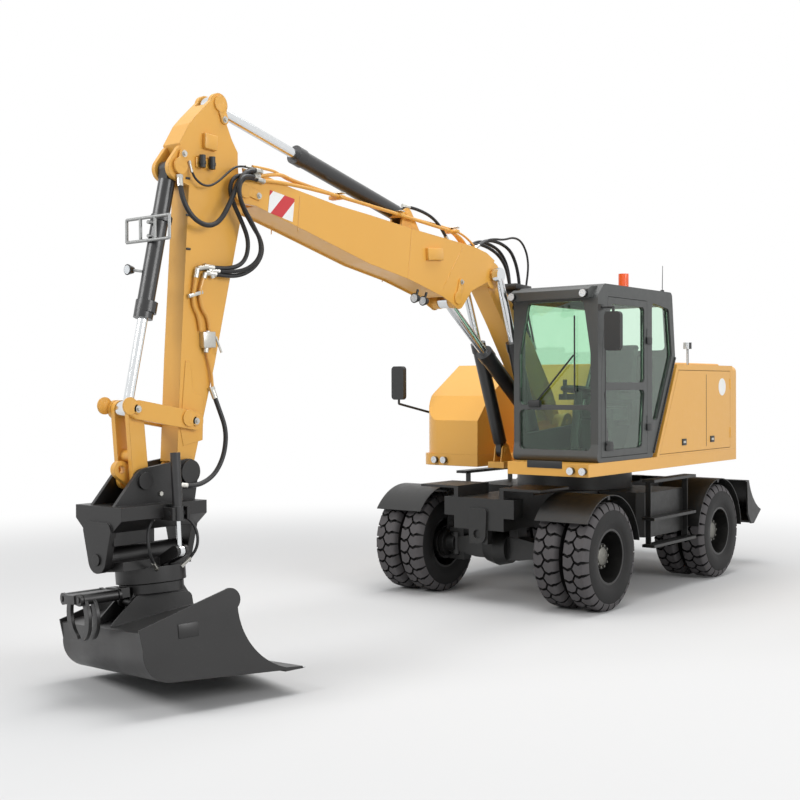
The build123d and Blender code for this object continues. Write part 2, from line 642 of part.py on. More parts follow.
windscreens = (  # above and below the cross bar, as (y, z)
    [(365, 1998), (1165, 1998), (1165, 2500), (1090, 3000), (465, 3000), (365, 2500)],
    [(365, 1560), (1165, 1560), (1165, 1950), (365, 1950)])
rear_window = [(cab_right + 90, 2560), (cab_left - 90, 2560), (cab_left - 90, 3020), (cab_right + 90, 3020)]
window_corner = 45


def pane_y(outline, face, gap):
    """A pane in a window that looks sideways: its outline less a gap, its outer face at y = face."""
    with BuildSketch(Plane.XZ.offset(-face)) as pane_face:
        with BuildLine():
            FilletPolyline(*outline, radius=window_corner, close=True)
        make_face()
        offset(amount=-gap)
    extrude(pane_face.sketch, amount=pane)


def pane_x(outline, face, gap):
    """A pane in a window that looks forward or back: its outline less a gap, its rear face at x = face."""
    with BuildSketch(Plane.YZ.offset(face)) as pane_face:
        with BuildLine():
            FilletPolyline(*outline, radius=window_corner, close=True)
        make_face()
        offset(amount=-gap)
    extrude(pane_face.sketch, amount=pane)


with BuildPart() as cab:
    prism_y(cab_outline, cab_left, cab_right, radius=55)
    prism_y(cab_inner, cab_left - cab_wall, cab_right + cab_wall, radius=35, mode=Mode.SUBTRACT)
    prism_y(door_outline, cab_left + 1, cab_left - cab_wall - 1, mode=Mode.SUBTRACT)
    prism_y(quarter_window, cab_left + 1, cab_left - cab_wall - 1, radius=window_corner, mode=Mode.SUBTRACT)
    prism_y(side_window, cab_right + cab_wall + 1, cab_right - 1, radius=window_corner, mode=Mode.SUBTRACT)
    for outline in windscreens:
        prism_x(outline, ahead(cab_front + 40), ahead(cab_front - 200), radius=window_corner, mode=Mode.SUBTRACT)
    prism_x(rear_window, ahead(300), ahead(-50), radius=window_corner, mode=Mode.SUBTRACT)
    prism_y([(ahead(1600), 3062), (ahead(1690), 3025), (ahead(visor_front), 3022), (ahead(visor_front), 3105),
             (ahead(1740), 3134), (ahead(1600), 3146)], cab_left - 60, cab_right + 10)
    hinge_knuckles(cab_door_hinge_x, cab_left, cab_door_levels, carries=True)
finish(cab.part, "cab_shell")

with BuildPart() as glass:
    for outline in windscreens:
        pane_x(outline, ahead(cab_front - 34), seat_gap)
    pane_y(quarter_window, cab_left - 28, seat_gap)
    pane_y(side_window, cab_right + 28 + pane, seat_gap)
finish(glass.part, "cab_glass")

with BuildPart() as cab_door:
    with BuildSketch(Plane.XZ.offset(-cab_left)) as door_face:
        with BuildLine():
            Polyline(*door_outline, close=True)
        make_face()
        offset(amount=-5)
    extrude(door_face.sketch, amount=cab_wall - 5)
    for outline in door_windows:
        prism_y(outline, cab_left + 1, cab_left - cab_wall, radius=window_corner, mode=Mode.SUBTRACT)
    hinge_knuckles(cab_door_hinge_x, cab_left, cab_door_levels, carries=False)
finish(cab_door.part, "cab_door")
with BuildPart() as door_glass:
    for outline in door_windows:
        pane_y(outline, cab_left - 22, seat_gap)
finish(door_glass.part, "cab_door_glass")

seat_x, seat_y = ahead(720), (cab_left + cab_right) / 2
with BuildPart() as controls:
    prism_y([(seat_x - 65, deck_top + 60), (seat_x + 200, deck_top + 60), (seat_x + 200, 1840), (seat_x - 200, 1840),
             (seat_x - 200, 1780)], seat_y + 180, seat_y - 180)
    for side in (1, -1):
        block((seat_x - 150, seat_x + 330), sorted((seat_y + side * 262, seat_y + side * 352)), (2040, 2100))
        block((seat_x - 40, seat_x + 40), sorted((seat_y + side * 150, seat_y + side * 330)), (1780, 1839))
        block((seat_x - 40, seat_x + 40), sorted((seat_y + side * 280, seat_y + side * 330)), (1780, 2040))
        with BuildSketch(Plane.XY.offset(2100)) as stick_lever:
            with Locations((seat_x + 280, seat_y + side * 307)):
                Circle(22)
        extrude(stick_lever.sketch, amount=150)
    block((seat_x + 560, seat_x + 720), (seat_y - 90, seat_y + 90), (deck_top + 60, deck_top + 110))
    bar((seat_x + 640, seat_y, deck_top + 100), (seat_x + 520, seat_y, 2130), 45)
    with BuildSketch(Plane(origin=(seat_x + 520, seat_y, 2130), z_dir=(-120, 0, 625))) as wheel_rim:
        Circle(190)
    extrude(wheel_rim.sketch, amount=25)
finish(controls.part, "cab_controls")
with BuildPart() as cushions:
    block((seat_x - 230, seat_x + 270), (seat_y - 240, seat_y + 240), (1840.3, 1960))
    prism_y([(seat_x - 225, 1960.6), (seat_x - 105, 1960.6), (seat_x - 215, 2620), (seat_x - 320, 2620)],
            seat_y + 235, seat_y - 235, radius=30)
finish(cushions.part, "seat_cushions")

# ---------------------------------------------------------------- mirrors and lamps
lamp_radius = 36


def lamp(x, y, z):
    """A round lamp that looks forward, its back at x."""
    disc_x(y, z, lamp_radius, x + 45, x)


with BuildPart() as mirrors:
    for side, x, z, wall, foot_x, foot_z, way in (
            (1, ahead(1665), 2700, cab_left, ahead(cab_front - 28), 2930, 1),
            (-1, ahead(1403), 2224, body_half, ahead(900), 1870, -1)):
        block((foot_x - 28, foot_x + 28), sorted((side * wall, side * (wall + 30))), (foot_z - 28, foot_z + 28))
        y_in, y_out = sorted((side * 1310, side * 1478))
        prism_x([(y_in, z - 185), (y_out, z - 185), (y_out, z + 185), (y_in, z + 185)], x + 55, x, radius=40)
        elbow = (x + 28, side * 1394, z + way * 230)
        bar(elbow, (x + 28, side * 1394, z + way * 180), 13)
        bar((foot_x, side * (wall + 20), foot_z), elbow, 13)
finish(mirrors.part, "mirrors")
with BuildPart() as lamps:
    for y in (-1012, -890):
        lamp(ahead(right_front), y, 1382)
    for y in (1075, 1205):
        lamp(ahead(deck_front), y, 1376)
    for y in (cab_right + 42, cab_left - 103):
        lamp(ahead(visor_front), y, 3064)
    disc_z(ahead(900), 1090, 52, cab_roof_z, cab_roof_z + 150)
    disc_z(ahead(-320), 1225, 12, body_top, body_top + 170)
    disc_z(ahead(-320), 1225, 45, body_top + 170, body_top + 240)
finish(lamps.part, "lamps")

# ---------------------------------------------------------------- lower boom
joint_pin = 45
with BuildPart() as lower_boom:
    outline = [along(boom_foot, boom_joint, distance, offset) for distance, offset in
               [(-40, 78), (300, 150), (900, 185), (1500, 160), (1900, 112), (2040, 60), (2040, -60), (1900, -106),
                (1450, -112), (900, -145), (450, -150), (-40, -78)]]
    prism_y(outline, lower_boom_half, -lower_boom_half, radius=30)
    disc_y(boom_foot, 100, 198, -198)
    disc_y(boom_foot, joint_pin, 262, -262)
    disc_y(boom_joint, 112, 130, -130)
    disc_y(boom_joint, joint_pin, 174, -174)
    for side in (1, -1):
        ear_y = sorted((side * 60, side * 85))
        hull_y([(*adjust_base, 70), (*along(boom_foot, boom_joint, 180, -100), 40),
                (*along(boom_foot, boom_joint, 375, -112), 30)], ear_y[1], ear_y[0])
    disc_y(adjust_base, cylinders["adjust"]["pin"], 100, -100)
finish(lower_boom.part, "lower_boom")

# ---------------------------------------------------------------- upper boom
boom_top = [(-11, 154), (132, 201), (362, 218), (688, 202), (1334, 174), (1956, 160), (2394, 143), (2945, 150),
            (3211, 170), (3495, 168)]
boom_belly = [(3425, -76), (2756, -155), (1910, -262), (1349, -290), (803, -358), (603, -416), (482, -391),
              (350, -219), (100, -87)]


def on_boom(points):
    return [along(boom_joint, stick_pivot, distance, offset) for distance, offset in points]


boom_side_y = upper_boom_half - boom_plate
with BuildPart() as upper_boom:
    for side in (1, -1):
        plate_y = sorted((side * boom_side_y, side * upper_boom_half))
        prism_y(on_boom(boom_top + boom_belly), plate_y[1], plate_y[0])
        disc_y(boom_joint, 130, plate_y[1], plate_y[0])
        disc_y(adjust_eye, 85, plate_y[1], plate_y[0])
        boss_y = sorted((side * 60, side * boom_side_y))
        disc_y(adjust_eye, 75, boss_y[1], boss_y[0])
        nose_y = sorted((side * (stick_boss_half + side_gap), side * upper_boom_half))
        hull_y([(*stick_pivot, 100), (*on_boom([(3080, 40)])[0], 100)], nose_y[1], nose_y[0])
        ear_y = sorted((side * 50, side * 72))
        hull_y([(*stick_cyl_base, 70), (*on_boom([(1130, 150)])[0], 30), (*on_boom([(1388, 150)])[0], 30)],
               ear_y[1], ear_y[0])
    core = [(170, 180), (362, 204), (688, 188), (1334, 160), (1956, 146), (2394, 129), (2945, 136), (3060, 140),
            (3200, 60), (3300, -30), (3290, -80), (2756, -141), (1910, -248), (1349, -276), (820, -340), (770, -350),
            (748, -185), (420, -150), (190, -105)]
    prism_y(on_boom(core), boom_side_y, -boom_side_y)
    disc_y(stick_cyl_base, cylinders["stick"]["pin"], 90, -90)
    disc_y(boom_joint, joint_pin + pin_gap, upper_boom_half + 1, -upper_boom_half - 1, mode=Mode.SUBTRACT)
    disc_y(stick_pivot, joint_pin + pin_gap, upper_boom_half + 1, -upper_boom_half - 1, mode=Mode.SUBTRACT)
finish(upper_boom.part, "upper_boom")

# ---------------------------------------------------------------- stick and bucket linkage
link_pin = 36
lifting_eye_half = 22
lifting_eye_bore = 30
lifting_eye = reach(link_foot, 140, 35)


def on_stick(points):
    return [along(stick_pivot, stick_tip, distance, offset) for distance, offset in points]


with BuildPart() as stick:
    body = [(-603, 403), (-480, 480), (-396, 532), (-300, 585), (-120, 640), (-30, 560), (-11, 507), (437, 425),
            (1411, 243), (2150, 93), (2117, -68), (1357, -90), (248, -79), (60, -80), (-100, 20), (-201, 55),
            (-283, 76), (-356, 160), (-442, 234), (-584, 296)]
    prism_y(on_stick(body), stick_half, -stick_half)
    disc_y(stick_pivot, 95, stick_boss_half, -stick_boss_half)
    disc_y(stick_tip, 90, stick_tip_half, -stick_tip_half)
    for eye_pin, clear in ((stick_eye, 98), (bucket_cyl_base, 96)):
        disc_y(eye_pin, 85, stick_half, -stick_half)
        disc_y(eye_pin, clear, 55, -55, mode=Mode.SUBTRACT)
    for side in (1, -1):
        ear_y = sorted((side * 55, side * stick_half))
        hull_y([(*bucket_cyl_base, 85), (*on_stick([(-60, 590)])[0], 60), (*on_stick([(118, 470)])[0], 30)],
               ear_y[1], ear_y[0])
    prism_y(on_stick([(-564, 339), (-440, 420), (-800, 600), (-760, 280)]), 55, -55, mode=Mode.SUBTRACT)
    prism_y(on_stick([(67, 530), (300, 520), (420, 720), (67, 760)]), 55, -55, mode=Mode.SUBTRACT)
    disc_y(bucket_cyl_base, cylinders["bucket"]["pin"], stick_half + 16, -stick_half - 16)
    disc_y(stick_pivot, joint_pin, joint_pin_half, -joint_pin_half)
    disc_y(guide_pivot, link_pin + pin_gap, stick_half + 8, -stick_half - 8, mode=Mode.SUBTRACT)
    disc_y(stick_tip, link_pin + pin_gap, stick_half + 8, -stick_half - 8, mode=Mode.SUBTRACT)
finish(stick.part, "stick")

with BuildPart() as guide_links:
    for side in (1, -1):
        plate_y = sorted((side * guide_half, side * link_plate_half))
        hull_y([(*guide_pivot, 68), (*link_top, 68)], plate_y[1], plate_y[0])
        stub_y = sorted((side * 57, side * link_plate_half))
        disc_y(link_top, link_pin, stub_y[1], stub_y[0])
    disc_y(guide_pivot, link_pin, link_plate_half, -link_plate_half)
finish(guide_links.part, "guide_links")

with BuildPart() as bucket_link:
    for side in (1, -1):
        plate_y = sorted((side * 56, side * 97))
        hull_y([(*link_top, 66), (*link_foot, 70)], plate_y[1], plate_y[0])
    brace = along(link_top, link_foot, 330, 0)
    disc_y(brace, 45, 60, -60)
    for side in (1, -1):
        web_y = sorted((side * lifting_eye_half, side * 60))
        hull_y([(*link_foot, 40), (*along(link_top, link_foot, 420, 20), 30)], web_y[1], web_y[0])
    hull_y([(*link_foot, 60), (*lifting_eye, 62)], lifting_eye_half, -lifting_eye_half)
    disc_y(lifting_eye, lifting_eye_bore, lifting_eye_half + 1, -lifting_eye_half - 1, mode=Mode.SUBTRACT)
    disc_y(link_top, link_pin + pin_gap, 100, -100, mode=Mode.SUBTRACT)
finish(bucket_link.part, "bucket_link")

# ---------------------------------------------------------------- tiltrotator
rotator_x = ahead(rotator_ahead)
hitch_front, hitch_rear = ahead(6594), ahead(5800)
tilt_pin = 40
tilt_cyl_y = 312
trunnion_z = 1290
hitch_top_z = 1357
pocket_depth = 85        # the slot that clears the bucket link's eye

with BuildPart() as coupler:
    for side in (1, -1):
        plate_y = sorted((side * (guide_half + 5), side * link_plate_half))
        hull_y([(*stick_tip, 95), (*link_foot, 88), (hitch_front - 60, 1330, 25), (hitch_rear + 40, 1330, 25)],
               plate_y[1], plate_y[0])
        cap_y = sorted((side * link_plate_half, side * (link_plate_half + 26)))
        disc_y(stick_tip, 88, cap_y[1], cap_y[0])
        disc_y(link_foot, 62, cap_y[1] - 6 * (side > 0), cap_y[0] + 6 * (side < 0))
        for front, back in ((rotator_x + 82, rotator_x + 54), (rotator_x - 54, rotator_x - 82)):
            bracket_y = sorted((side * 225, side * 350))
            block((back, front), bracket_y, (trunnion_z - 45, trunnion_z + 45))
            disc_x(side * tilt_cyl_y, trunnion_z, 20 + pin_gap, front + 1, back - 1, mode=Mode.SUBTRACT)
    prism_x([(-250, hitch_top_z), (-250, 1265), (-150, 1180), (150, 1180), (250, 1265), (250, hitch_top_z)],
            hitch_front - 15, hitch_rear)
    block((rotator_x + 70, hitch_front - 40), (-140, 140), (tilt_axis_z + 100, 1200))
    block((link_foot[0] - 5, link_foot[0] + 202), (-lifting_eye_half - 8, lifting_eye_half + 8),
          (hitch_top_z - pocket_depth, hitch_top_z + 1), mode=Mode.SUBTRACT)
    for front, back in ((hitch_front, hitch_front - 55), (hitch_rear + 55, hitch_rear)):
        hull_x([(0, tilt_axis_z, 95), (-90, 1190, 60), (90, 1190, 60)], front, back)
    disc_x(0, tilt_axis_z, tilt_pin + pin_gap, hitch_front + 1, hitch_rear - 1, mode=Mode.SUBTRACT)
    disc_y(stick_tip, link_pin, 160, -160)
finish(coupler.part, "tiltrotator_coupler")

tilt_pose = (Location((0, 0, tilt_axis_z)) * Location((0, 0, 0), (1, 0, 0), tilt_rest)
             * Location((0, 0, -tilt_axis_z)))
turn_pose = (tilt_pose * Location((rotator_x, 0, 0)) * Location((0, 0, 0), (0, 0, 1), turn_rest)
             * Location((-rotator_x, 0, 0)))


def below_axis(depth):
    """Z of a level a depth below the tilt axis."""
    return tilt_axis_z - depth


tilt_eye_y, tilt_eye_z = 330, tilt_axis_z + 5
swivel_radius, swivel_joint = 250, below_axis(205)
with BuildPart() as tilt_frame:
    disc_x(0, tilt_axis_z, 80, hitch_front - 61, hitch_rear + 61)
    disc_x(0, tilt_axis_z, tilt_pin, hitch_front + 12, hitch_rear - 12)
    block((hitch_rear + 90, hitch_front - 90), (-170, 170), (below_axis(95), below_axis(30)))
    for side in (1, -1):
        for front, back in ((rotator_x + 52, rotator_x + 26), (rotator_x - 26, rotator_x - 52)):
            hull_x([(side * tilt_eye_y, tilt_eye_z, 42), (side * 150, below_axis(62), 32)], front, back)
    with BuildSketch(Plane.XY.offset(swivel_joint + 3)) as housing:
        with Locations((rotator_x, 0)):
            Circle(swivel_radius)
    extrude(housing.sketch, amount=below_axis(90) - swivel_joint - 3)
    with BuildSketch(Plane.XY.offset(swivel_joint)) as socket:
        with Locations((rotator_x, 0)):
            Circle(110 + pin_gap)
    extrude(socket.sketch, amount=80, mode=Mode.SUBTRACT)
finish(tilt_frame.part.moved(tilt_pose), "tilt_frame")

hitch_pins = ((-190, 345), (170, 330))  # bucket pins: x from the turning axis, depth below the tilt axis
with BuildPart() as rotator:
    with BuildSketch(Plane.XY.offset(swivel_joint - 70)) as turntable:
        with Locations((rotator_x, 0)):
            Circle(swivel_radius - 20)
    extrude(turntable.sketch, amount=67)
    with BuildSketch(Plane.XY.offset(swivel_joint - 10)) as spigot:
        with Locations((rotator_x, 0)):
            Circle(110)
    extrude(spigot.sketch, amount=84)
    for side in (1, -1):
        plate_y = sorted((side * 90, side * 122))
        hull_y([(rotator_x + hitch_pins[0][0], below_axis(hitch_pins[0][1]), 52),
                (rotator_x + hitch_pins[1][0], below_axis(hitch_pins[1][1]), 52),
                (rotator_x - 160, below_axis(250), 30), (rotator_x + 160, below_axis(250), 30)],
               plate_y[1], plate_y[0])
    for x, depth in hitch_pins:
        disc_y((rotator_x + x, below_axis(depth)), 30 + 0.4, 130, -130, mode=Mode.SUBTRACT)
finish(rotator.part.moved(turn_pose), "rotator")

with BuildPart() as gripper_frame:
    block((rotator_x + 224, rotator_x + 300), (-124, 124), (below_axis(285), below_axis(215)))
    with BuildSketch(Plane.XY.offset(below_axis(290))) as round_seat:
        with Locations((rotator_x, 0)):
            Circle(swivel_radius - 20 + 0.3)
    extrude(round_seat.sketch, amount=80, mode=Mode.SUBTRACT)
    block((rotator_x + 300, rotator_x + 620), (-90, 90), (below_axis(285), below_axis(225)))
    for x in (310, 590):
        for side in (1, -1):
            hull_x([(side * 150, below_axis(255), 42), (side * 60, below_axis(255), 30)],
                   rotator_x + x + 20, rotator_x + x)
            disc_x(side * 150, below_axis(255), 20 + pin_gap, rotator_x + x + 21, rotator_x + x - 1,
                   mode=Mode.SUBTRACT)
finish(gripper_frame.part.moved(turn_pose), "gripper_frame")
for name, side, fingers in (("gripper_left_claw", 1, (500, 560)), ("gripper_right_claw", -1, (530,))):
    with BuildPart() as claw:
        disc_x(side * 150, below_axis(255), 38, rotator_x + 584, rotator_x + 336)
        disc_x(side * 150, below_axis(255), 20, rotator_x + 618, rotator_x + 302)
        for x in fingers:
            with BuildSketch(Plane.YZ.offset(rotator_x + x)) as finger:
                with BuildLine():
                    ThreePointArc((side * 186, below_axis(262)), (side * 235, below_axis(400)),
                                  (side * 60, below_axis(540)))
                    Line((side * 60, below_axis(540)), (side * 75, below_axis(515)))
                    ThreePointArc((side * 75, below_axis(515)), (side * 160, below_axis(400)),
                                  (side * 116, below_axis(262)))
                    Line((side * 116, below_axis(262)), (side * 186, below_axis(262)))
                make_face()
            extrude(finger.sketch, amount=24)
    finish(claw.part.moved(turn_pose), name)

# ---------------------------------------------------------------- bucket
bucket_half = bucket_width / 2


def on_bucket(points):
    return [(rotator_x + x, below_axis(depth)) for x, depth in points]


bucket_lines = ((-213, 273), (-812, 901), (425, 475), (418, 590), (240, 826))  # lip, tip, back, heel and sole
with BuildPart() as bucket:
    (x_lip, z_lip), (x_tip, z_tip), (x_back, z_back), (x_heel, z_heel), (x_sole, z_sole) = bucket_lines
    with BuildSketch(Plane.XZ.offset(bucket_plate - bucket_half)) as shell:
        with BuildLine():
            for inset in (0, bucket_plate):
                Line(on_bucket([(-254, 395 + inset)])[0], on_bucket([(x_back - inset, z_back + inset)])[0])
                Line(on_bucket([(x_back - inset, z_back + inset)])[0], on_bucket([(x_heel - inset, z_heel)])[0])
                ThreePointArc(*on_bucket([(x_heel - inset, z_heel), (375 - inset * 0.8, 752 - inset * 0.6),
                                          (x_sole, z_sole - inset)]))
                Line(on_bucket([(x_sole, z_sole - inset)])[0], on_bucket([(-760, 904 - inset)])[0])
            Line(on_bucket([(-254, 395)])[0], on_bucket([(-254, 395 + bucket_plate)])[0])
            Line(on_bucket([(-760, 904)])[0], on_bucket([(-760, 904 - bucket_plate)])[0])
        make_face()
    extrude(shell.sketch, amount=bucket_width - 2 * bucket_plate)
    for side in (1, -1):
        with BuildSketch(Plane.XZ.offset(-side * (bucket_half - bucket_plate / 2) - bucket_plate / 2)) as cheek:
            with BuildLine():
                Polyline(*on_bucket([(x_lip, z_lip), (x_back + 12, z_back - 24), (x_heel, z_heel)]))
                ThreePointArc(*on_bucket([(x_heel, z_heel), (375, 752), (x_sole, z_sole)]))
                Polyline(*on_bucket([(x_sole, z_sole), (x_tip + 30, z_tip + 4), (x_tip, z_tip)]))
                ThreePointArc(*on_bucket([(x_tip, z_tip), (-405, 700), (-303, 405)]))
                ThreePointArc(*on_bucket([(-303, 405), (-314, 300), (x_lip, z_lip)]))
            make_face()
        extrude(cheek.sketch, amount=bucket_plate)
        ear_y = sorted((side * 128, side * 150))
        hull_y([(*on_bucket([hitch_pins[0]])[0], 50), (*on_bucket([hitch_pins[1]])[0], 50),
                (*on_bucket([(-225, 400)])[0], 20), (*on_bucket([(380, 465)])[0], 10)], ear_y[1], ear_y[0])
    prism_y(on_bucket([(-640, 876), (-783, 888), (-790, 905), (-640, 905)]), bucket_half, -bucket_half)
    for pin in hitch_pins:
        disc_y(on_bucket([pin])[0], 30, 150, -150)
finish(bucket.part.moved(turn_pose), "bucket")

# ---------------------------------------------------------------- cylinders of the working equipment
with BuildPart() as lift_barrels:
    for side in (1, -1):
        cylinder_barrel("lift", lift_base, boom_joint, side * lift_y)
finish(lift_barrels.part, "lift_cylinder_barrels")
with BuildPart() as lift_rods:
    for side in (1, -1):
        cylinder_rod("lift", lift_base, boom_joint, side * lift_y)
finish(lift_rods.part, "lift_cylinder_rods")
for kind, base, eye in (("adjust", adjust_base, adjust_eye), ("stick", stick_cyl_base, stick_eye),
                        ("bucket", bucket_cyl_base, link_top)):
    with BuildPart() as barrel:
        cylinder_barrel(kind, base, eye, 0)
    finish(barrel.part, f"{kind}_cylinder_barrel")
    with BuildPart() as rod:
        cylinder_rod(kind, base, eye, 0)
    finish(rod.part, f"{kind}_cylinder_rod")

tilt_barrel_radius, tilt_rod_radius = 36, 18
for name, side in (("left", 1), ("right", -1)):
    lean = radians(tilt_rest)
    eye_yz = (side * tilt_eye_y * cos(lean) - 5 * sin(lean),
              tilt_axis_z + side * tilt_eye_y * sin(lean) + 5 * cos(lean))
    trunnion = (side * tilt_cyl_y, trunnion_z)

    def on_tilt_cylinder(distance):
        y, z = along(trunnion, eye_yz, distance, 0)
        return rotator_x, y, z

    rest_length = hypot(eye_yz[0] - trunnion[0], eye_yz[1] - trunnion[1])
    with BuildPart() as barrel:
        bar(on_tilt_cylinder(-430), on_tilt_cylinder(54), tilt_barrel_radius)
        bar(on_tilt_cylinder(-50), on_tilt_cylinder(54), tilt_barrel_radius + 7)
        disc_x(*trunnion, 20, rotator_x + 84, rotator_x - 84)
        bar(on_tilt_cylinder(-400), on_tilt_cylinder(14), tilt_rod_radius + 1.5, mode=Mode.SUBTRACT)
        bar(on_tilt_cylinder(13), on_tilt_cylinder(60), tilt_rod_radius + seat_gap, mode=Mode.SUBTRACT)
    finish(barrel.part, f"tilt_{name}_barrel")
    with BuildPart() as rod:
        bar(on_tilt_cylinder(rest_length - 480), on_tilt_cylinder(rest_length - 20), tilt_rod_radius)
        disc_x(*eye_yz, 38, rotator_x + 20, rotator_x - 20)
    finish(rod.part, f"tilt_{name}_rod")
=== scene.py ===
import bpy
import bmesh
from math import atan2, cos, hypot, pi, radians, sin
from mathutils import Matrix, Vector


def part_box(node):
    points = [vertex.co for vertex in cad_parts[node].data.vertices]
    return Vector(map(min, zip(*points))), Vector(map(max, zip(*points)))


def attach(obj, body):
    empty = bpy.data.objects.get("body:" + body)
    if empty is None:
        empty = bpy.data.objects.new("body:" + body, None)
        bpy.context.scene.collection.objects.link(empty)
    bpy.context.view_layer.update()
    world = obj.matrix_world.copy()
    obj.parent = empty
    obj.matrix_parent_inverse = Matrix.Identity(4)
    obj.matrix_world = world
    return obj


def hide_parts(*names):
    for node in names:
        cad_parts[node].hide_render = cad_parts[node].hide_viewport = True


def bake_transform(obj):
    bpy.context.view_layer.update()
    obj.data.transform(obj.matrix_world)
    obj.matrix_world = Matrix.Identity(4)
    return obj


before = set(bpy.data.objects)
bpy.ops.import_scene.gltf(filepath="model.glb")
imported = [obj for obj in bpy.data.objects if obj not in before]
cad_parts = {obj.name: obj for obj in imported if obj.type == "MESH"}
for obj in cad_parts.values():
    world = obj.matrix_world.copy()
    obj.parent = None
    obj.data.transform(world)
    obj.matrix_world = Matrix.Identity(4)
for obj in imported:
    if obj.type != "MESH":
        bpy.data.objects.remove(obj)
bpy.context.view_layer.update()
print("frame loaded:", len(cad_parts), "nodes")


def srgb(code):  # a hex colour to linear rgba
    parts = [int(code[i:i + 2], 16) / 255 for i in (1, 3, 5)]
    return tuple(c / 12.92 if c <= 0.04045 else ((c + 0.055) / 1.055) ** 2.4 for c in parts) + (1.0,)


def addNode(tree, kind, values=None, links=None, **settings):
    node = tree.nodes.new(kind)
    for key, value in settings.items():
        setattr(node, key, value)
    for key, value in (values or {}).items():
        node.inputs[key].default_value = value
    for key, source in (links or {}).items():
        tree.links.new(source, node.inputs[key])
    return node


def startMaterial(name, **values):  # a principled material with its fixed values, and its coordinates node
    material = bpy.data.materials.new(name)
    material.use_nodes = True
    tree = material.node_tree
    tree.nodes.clear()
    fixed = {key.replace("_", " "): value for key, value in values.items()}
    shader = addNode(tree, "ShaderNodeBsdfPrincipled", fixed)
    addNode(tree, "ShaderNodeOutputMaterial", links={"Surface": shader.outputs[0]})
    return material, tree, shader, addNode(tree, "ShaderNodeTexCoord")


# the camera stands first, because everything else is judged from it
cameraPlace = dict(stand=(9.577, 6.698, 2.169), yaw=218.153, pitch=-0.583, roll=-0.234, lens=53.11)
cameraData = bpy.data.cameras.new("studioCamera")
cameraData.lens = cameraPlace["lens"]
cameraData.sensor_width = 36.0
cameraData.clip_end = 400.0
camera = bpy.data.objects.new("studioCamera", cameraData)
camera.matrix_world = (Matrix.Translation(cameraPlace["stand"])
                       @ Matrix.Rotation(radians(cameraPlace["yaw"] - 90), 4, "Z")
                       @ Matrix.Rotation(radians(90 + cameraPlace["pitch"]), 4, "X")
                       @ Matrix.Rotation(radians(cameraPlace["roll"]), 4, "Z"))
bpy.context.scene.collection.objects.link(camera)
bpy.context.scene.camera = camera
bpy.context.scene.view_settings.view_transform = "Standard"


enamelCoat = dict(dustMm=70, dustFrom=0.52, dustFull=0.80, glossier=0.05, duller=0.09, peelStrength=0.6)


# Sprayed machine enamel on steel: an even colour that drifts a little from plate to plate, the fine orange
# peel of the spray gun, a soft highlight on rounded plate edges and a thin dull film where dust settles.
def sprayedEnamel(name, look):
    material, tree, shader, place = startMaterial(name, Coat_Weight=look["coat"],
                                                  Coat_Roughness=look["coatRough"])
    where = place.outputs["Object"]
    cloud = addNode(tree, "ShaderNodeTexNoise", {"Scale": 1000 / look["cloudMm"], "Detail": 2.0},
                    {"Vector": where})
    tone = addNode(tree, "ShaderNodeMix", {6: srgb(look["shade"]), 7: srgb(look["colour"])},
                   {0: cloud.outputs["Fac"]}, data_type="RGBA")
    dust = addNode(tree, "ShaderNodeTexNoise",
                   {"Scale": 1000 / enamelCoat["dustMm"], "Detail": 6.0, "Roughness": 0.65}, {"Vector": where})
    film = addNode(tree, "ShaderNodeMapRange",
                   {"From Min": enamelCoat["dustFrom"], "From Max": enamelCoat["dustFull"],
                    "To Max": look["dust"]}, {"Value": dust.outputs["Fac"]})
    dusty = addNode(tree, "ShaderNodeMix", {7: srgb(look["dustColour"])},
                    {0: film.outputs["Result"], 6: tone.outputs[2]}, data_type="RGBA")
    tree.links.new(dusty.outputs[2], shader.inputs["Base Color"])
    gloss = addNode(tree, "ShaderNodeMapRange",
                    {"From Min": 0.3, "From Max": 0.7, "To Min": look["rough"] - enamelCoat["glossier"],
                     "To Max": look["rough"] + enamelCoat["duller"]}, {"Value": dust.outputs["Fac"]})
    tree.links.new(gloss.outputs["Result"], shader.inputs["Roughness"])
    peel = addNode(tree, "ShaderNodeTexNoise", {"Scale": 1000 / look["peelMm"], "Detail": 1.0},
                   {"Vector": where})
    edge = addNode(tree, "ShaderNodeBevel", {"Radius": look["edgeMm"] / 1000}, samples=4)
    relief = addNode(tree, "ShaderNodeBump",
                     {"Distance": look["peelDepthMm"] / 1000, "Strength": enamelCoat["peelStrength"]},
                     {"Height": peel.outputs["Fac"], "Normal": edge.outputs["Normal"]})
    tree.links.new(relief.outputs["Normal"], shader.inputs["Normal"])
    return material


bodyEnamel = sprayedEnamel("yellowMachineEnamel", dict(
    colour="#e0a84a", shade="#daa042", dustColour="#d8b478", dust=0.10, cloudMm=900, rough=0.36, peelMm=7,
    peelDepthMm=0.05, coat=0.22, coatRough=0.16, edgeMm=9))
tubeEnamel = sprayedEnamel("yellowTubeEnamel", dict(
    colour="#dca347", shade="#d69b3f", dustColour="#d0aa6c", dust=0.1, cloudMm=500, rough=0.34, peelMm=5,
    peelDepthMm=0.03, coat=0.25, coatRough=0.16, edgeMm=1))
chassisEnamel = sprayedEnamel("blackChassisEnamel", dict(
    colour="#151514", shade="#111110", dustColour="#2b2926", dust=0.3, cloudMm=300, rough=0.42, peelMm=9,
    peelDepthMm=0.06, coat=0.1, coatRough=0.3, edgeMm=8))
cabEnamel = sprayedEnamel("greyCabPowderCoat", dict(
    colour="#414342", shade="#3b3d3c", dustColour="#4c4e4c", dust=0.2, cloudMm=500, rough=0.45, peelMm=4,
    peelDepthMm=0.05, coat=0.1, coatRough=0.35, edgeMm=8))
